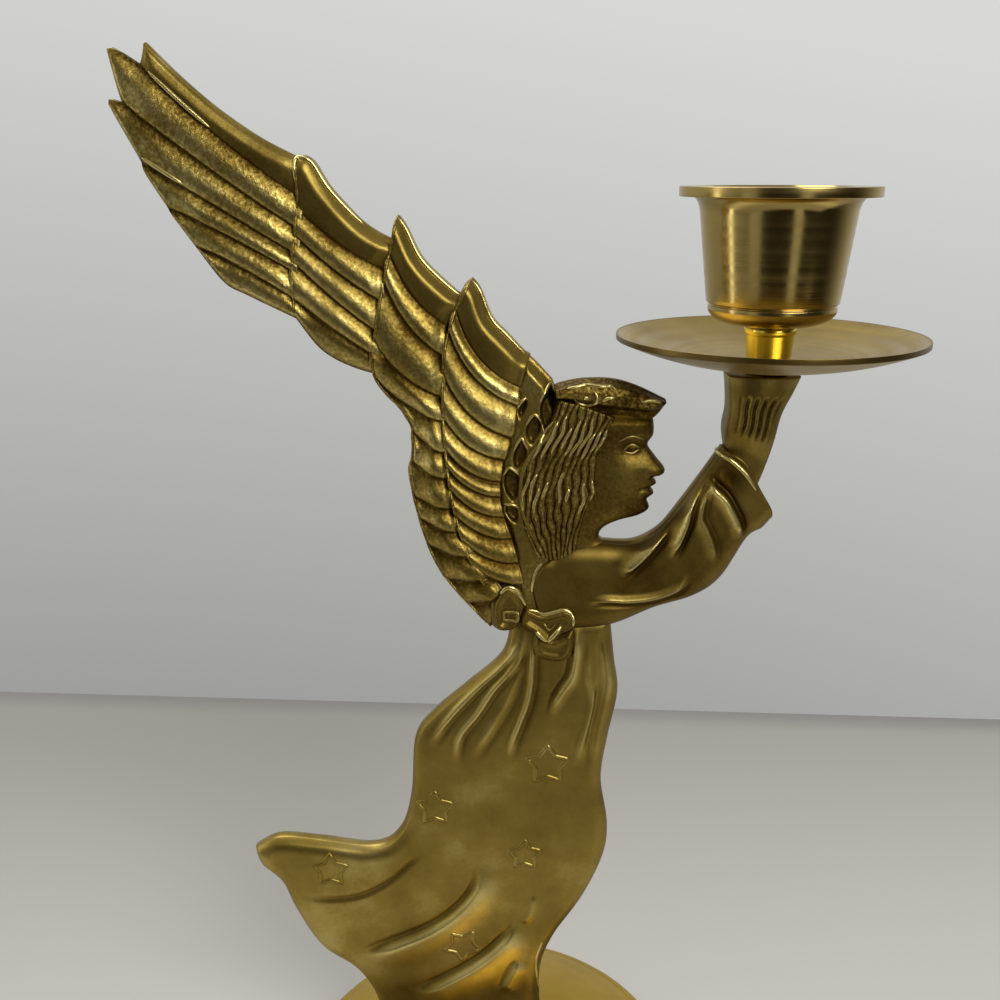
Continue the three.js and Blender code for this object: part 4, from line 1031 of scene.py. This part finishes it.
cap_spot, u, v = coons(
    [(11.6, 134.5), (13, 135), (16.7, 135.6), (21.2, 135.5), (25.3, 134.3), (29.9, 132.1)],
    [(11.9, 131.9), (14.6, 131), (17.5, 130), (20.4, 129), (26.9, 129), (29.7, 131.5)],
    [], [], 110, 50)
brim = np.interp(v, [0, 0.12, 0.3, 0.55, 0.68, 0.85, 1], [0, 0.8, 0.95, 1, 0.6, 0.42, 0.3])
cap_half = plate_edge + 2.6 * brim * np.sqrt(1 - 0.85 * u ** 6)
cap_half += 0.4 * mound(cap_spot, (24.2, 133), (1, 0.7))
cap = plate("cap", cap_spot, cap_half, {
    "buff": np.interp(v, [0, 0.5, 0.62, 1], [0.06, 0.18, 0.02, 0.05]), "grain": 1.0})
cap_lines = raised_lines([
    [(13.4, 134.6), (15.3, 134.9), (16.6, 135.1), (19.2, 134.9), (20.6, 134.9), (21.6, 134.3)],
    [(14.7, 132.8), (15.6, 131.9), (17.2, 131.7), (18.3, 132.4), (18.3, 133.5), (17.7, 134.3)],
    [(16.2, 132.8), (16.6, 133.2), (17, 132.9)], [(19.2, 132.5), (20, 133), (21.3, 133.2)],
    [(25.6, 132.4), (27.3, 132.6), (29, 132.1)],
    [(16.5, 131.2), (17.4, 130.7), (17.3, 130.2), (16.6, 130.2)]],
    cap, 0.6, 0.1, buff=1, grain=0.4)
cast("angel_cap", [cap, cap_lines])

# The sleeve and the arm in it, reaching up to the candle holder, cast with the figure. A rim runs
# round the shoulder, folds gather at the elbow, and the sleeve ends in a turned-back cuff.

cup_axis, hand_top, _, _ = stand("hand_collar")
cup_reach = cup_axis - figure_axis
hand_height = hand_top - figure_foot - 0.3


def at_hand(*steps):
    """Places by their steps sideways and up from the middle of the hand's top."""
    return [(cup_reach + x, hand_height + z) for x, z in steps]


sleeve_spot, u, v = coons(
    [(11.5, 106.4), (14.5, 107.5), (19.5, 107.6), (25.3, 107.5), (29.7, 109.8), (33.1, 114.2),
     *at_hand((-9.9, -16.9), (-6.9, -12.2))],
    [(9.5, 91), (15, 91.5), (22.2, 92.5), (29.3, 95.6), (36.2, 97.9), (40.7, 101.4),
     *at_hand((-1.9, -28), (0.6, -26.2), (2, -24.5))],
    [(8.6, 103.6), (7.4, 99.5)], at_hand((-3.2, -14.4), (-0.6, -18.9), (1.6, -22.6)), 160, 90)
inside = side_distance(sleeve_spot)
from_shoulder = smooth(distance(sleeve_spot, sleeve_spot[0])[0], 0, 1.2)
sleeve_half = plate_edge + 2.7 * quarter_round(inside, 3.5) * (0.4 + 0.6 * from_shoulder)
sleeve_buff = np.full(u.shape, 0.2)
fold_up(sleeve_spot, sleeve_half, sleeve_buff, inside, [
    ([(22.8, 102.2), (24.8, 103.8), (27.1, 106), (29.2, 108.5), (30.9, 111.3)],
     1.7, 0.6, 0.4, 1.2, 0.7),
    ([(31, 105), (32.4, 107.6), (33.8, 111.3), (34.5, 114.6), (35.8, 118), (37.6, 121.4)],
     1.1, 0.5, 0.5, 1.2, 0.7),
    ([(43.1, 108.6), (42.6, 111.4), (41.5, 113.7), (40.1, 116), (38, 118), (37, 120)],
     1.2, 0.5, 0.5, 1.3, 0.7),
    ([(38.6, 104.3), (38.6, 107.2), (37.6, 110), (36.3, 112.7), (36.6, 115.5), (37.1, 118.7)],
     1.3, 0.5, 0.4, 0.7, 0.4),
    ([(17.1, 97.3), (20.7, 97.8), (24.3, 97.7), (28.4, 98.1), (31.5, 99.1), (33.6, 100.5),
      (34.6, 102.9)], 0.7, 0.5, 0.5, 0.7, 0.5),
])
cuff_shade = mound(sleeve_spot, (40.8, 119.6), (1.6, 2.6))
sleeve_half -= 0.7 * cuff_shade
sleeve = plate("sleeve", sleeve_spot, sleeve_half, {
    "buff": np.clip(sleeve_buff - 0.2 * cuff_shade, 0, 1),
    "grain": 0.1 + 0.5 * np.clip(sleeve_buff - 0.3, 0, 1)})
sleeve_rims = raised_lines([
    [(7.9, 98), (8.2, 101.2), (9.3, 103.7), (11.2, 105.8), (13.3, 106.8), (15.5, 107.1),
     (18.2, 107.2)],
    [(38.7, 123.4), (40.5, 122.7), (42.3, 121.3), (43.7, 119.8), (45.2, 117.5)]],
    sleeve, 0.9, 0, buff=1, grain=0.5)
cast("angel_sleeve", [sleeve, sleeve_rims])

# The raised hand, closed round a stub that carries the candle holder, cast with the figure.
# Grooves mark its fingers.

hand_spot, u, v = coons(
    at_hand((-5.6, -15.8), (-6.6, -9.8), (-6.2, -5.6), (-6.4, -2.1), (-6.7, 0)),
    at_hand((-1.4, -20), (-0.4, -17.5), (0.7, -14), (1.4, -10.5), (2.3, -6.2), (3.9, -2.6),
            (5, 0)),
    [], [], 90, 120)
hand_half = plate_edge + (1.6 + 1.9 * smooth(u, 0.25, 0.5)) * np.sqrt(1 - 0.8 * (2 * v - 1) ** 2)
fingers = smooth(u, 0.4, 0.5) * (1 - smooth(u, 0.78, 0.84))
fingers *= smooth(v, 0.12, 0.22) * (1 - smooth(v, 0.8, 0.9))
groove = np.cos(math.pi * 7 * (v + 0.012 * np.sin(20 * u))) ** 4 * fingers
hand_half -= 0.45 * groove
hand = plate("angel_hand", hand_spot, hand_half, {
    "buff": np.clip(0.3 - 0.3 * groove + 0.1 * fingers + 0.2 * smooth(u, 0.86, 0.96), 0, 1),
    "grain": 0.15 + 0.35 * fingers})
fitted(hand, cast_brass, "angel_figure")

# The bow at the back of the waist: a loop on each side, and a short square end that hangs from it.
# It covers the root of the wing and is part of the same casting.


def swelling(name, rise, *edges):
    """A part of the bow between its edges: a plate that swells out of the figure on both faces."""
    spot, _, _ = coons(*edges)
    inside = rim_distance(spot)
    half = 2.9 + rise * smooth(inside, 0, 0.9) - 0.35 * rise * smooth(inside, 1, 2)
    return plate(name, spot, half, {"buff": 0.28, "grain": 0.25})


tail = swelling(
    "tail", 0.7, [(8.6, 91.5), (11.5, 90.5), (15.2, 91.8)],
    [(8.8, 86.9), (10.8, 86.1), (13.4, 86), (14.9, 87.2)], [(8.3, 89)], [(15.4, 89.4)], 30, 30)
left_loop = swelling(
    "left_loop", 1.4, [(2.3, 99.6), (3.6, 100.6), (5, 100.4), (6.3, 98.9), (7.3, 96.9)],
    [(1.3, 92.7), (2.5, 91.9), (4.1, 91.9), (5.7, 92.7), (6.4, 94.2)],
    [(1.2, 97.4), (1, 95.2)], [(6.9, 95.5)], 40, 50)
right_loop = swelling(
    "right_loop", 1.4,
    [(6.9, 96.9), (8.4, 96.3), (9.8, 95.7), (12.1, 96.2), (13.7, 96.5), (14.9, 96)],
    [(5.9, 93), (8.1, 91.5), (10.8, 89.3), (13.1, 91), (14.7, 91.7)],
    [(5.7, 95)], [(15.9, 94.6), (15.9, 93)], 60, 50)
bow_parts = [
    tail, left_loop, right_loop,
    raised_lines([[(2.5, 99), (3.7, 100.1), (4.9, 99.9), (6.1, 98.4), (7, 96.6)]],
                 left_loop, 1, 0.1, buff=1),
    sharp_lines([[(3.1, 95.7), (5.6, 95.7), (5.6, 94.2), (3.2, 94.2), (3.1, 95.7)]],
                left_loop, 0.6, 0.05),
    raised_lines([[(7.4, 96.1), (8.5, 95.8), (9.9, 95.2), (12.1, 95.7), (13.6, 96), (14.6, 95.5),
                   (15.2, 94.4), (15.1, 93.2)]], right_loop, 0.8, 0.1, buff=1),
    raised_lines([[(8.8, 92.3), (9.4, 91.6), (10.5, 90.5)],
                  [(10.7, 90.4), (11.8, 91.5), (13, 93)]], right_loop, 0.9, 0.15, 0.5, buff=1),
    raised_lines([[(10.1, 93.6), (11, 92.3), (12.1, 93.3)]], right_loop, 0.5, 0.05, buff=0.6)]
cast("angel_bow", bow_parts)

# The collar, drip pan and neck on the hand: a plain washer, a dish spun from sheet, and a turned
# spool.

washer("hand_washer", "hand_collar", 0.2)

axis_x, foot, height, radius = stand("drip_pan")

# Spun sheet brass, satin, with fine rings from the spinning tool. Its rim is painted darker, a
# painted dark reflection along the edge.
spun_brass = lathe_brass("satin_spun_brass", "#b39b58", "#8b763a", 0.36, 0.35, 0.01, 0.6)
tree = spun_brass.node_tree
shader = tree.nodes["Principled BSDF"]
spot = node(tree, "ShaderNodeTexCoord").outputs["Object"]
spot = node(tree, "ShaderNodeVectorMath", {0: spot, 1: (-axis_x * MM, 0, 0)})
spot = node(tree, "ShaderNodeVectorMath", {0: spot, 1: (1, 1, 0)}, operation="MULTIPLY")
from_axis = node(tree, "ShaderNodeVectorMath", {0: spot}, operation="LENGTH").outputs["Value"]
painted_dark_rim = node(tree, "ShaderNodeMapRange", {
    "Value": from_axis, "From Min": (radius - 0.4) * MM, "From Max": radius * MM})
feed(tree, shader, {"Base Color": node(tree, "ShaderNodeMix", {
    0: painted_dark_rim, 6: shader.inputs["Base Color"].links[0].from_socket, 7: linear("#6e5a2e")},
    data_type="RGBA").outputs[2]})

sheet, flat = 0.9, 7
depth = height - sheet
profile = [(screw_bore, 0), (flat, 0)]
profile += quadratic(profile[-1], (radius * 0.66, depth * 0.15), (radius, depth), 24)
profile += [(radius, depth + sheet)]
profile += quadratic(profile[-1], (radius * 0.66, depth * 0.15 + sheet), (flat, sheet), 24)
profile += [(screw_bore, sheet)]
fitted(turned("spun_drip_pan", profile, axis_x, foot, 0.08), spun_brass, "drip_pan")

axis_x, foot, height, _ = stand("cup_neck")
waist, neck_top = 3.6, 4.1
profile = [(screw_bore, 0), (waist, 0), (neck_top - 0.2, height - 1.2)]
profile += quadratic(profile[-1], (neck_top + 0.3, height - 0.8), (neck_top, height), 8)
profile += [(screw_bore, height)]
neck = turned("turned_neck", profile, axis_x, foot, 0.12, 96)
fitted(neck, plain_brass, "cup_neck")

# The candle cup, turned from bar: a rounded bottom with a small step, a tapered wall that flares
# under a flat rim, and a slightly tapered bore for the candle. A shallow recess in its floor takes
# the screw.

axis_x, foot, height, rim_radius = stand("candle_cup")
bottom_radius, top_radius, mouth, bore = 10.6, 12.2, 11.1, 9.3
rim_bottom, floor = height - 1.6, 2.4
flare = rim_bottom - 3
profile = [(screw_bore, 0), (neck_top + 0.4, 0)]
profile += quadratic(profile[-1], (bottom_radius - 0.9, 0.3), (bottom_radius - 0.3, 2.6))
profile += [(bottom_radius - 0.3, 3.2), (bottom_radius - 0.6, 3.4), (bottom_radius, 3.8),
            (top_radius, flare)]
profile += quadratic(profile[-1], (top_radius + 0.3, flare + 2.6), (top_radius + 1.3, rim_bottom))
profile += [(rim_radius, rim_bottom), (rim_radius, height), (mouth + 0.5, height),
            (mouth, height - 0.6), (bore, floor + 1), (bore - 1, floor), (4.4, floor),
            (4.4, floor - 0.6), (screw_bore, floor - 0.6)]
cup = turned("turned_candle_cup", profile, axis_x, foot, 0.15)
fitted(cup, turned_brass, "candle_cup")
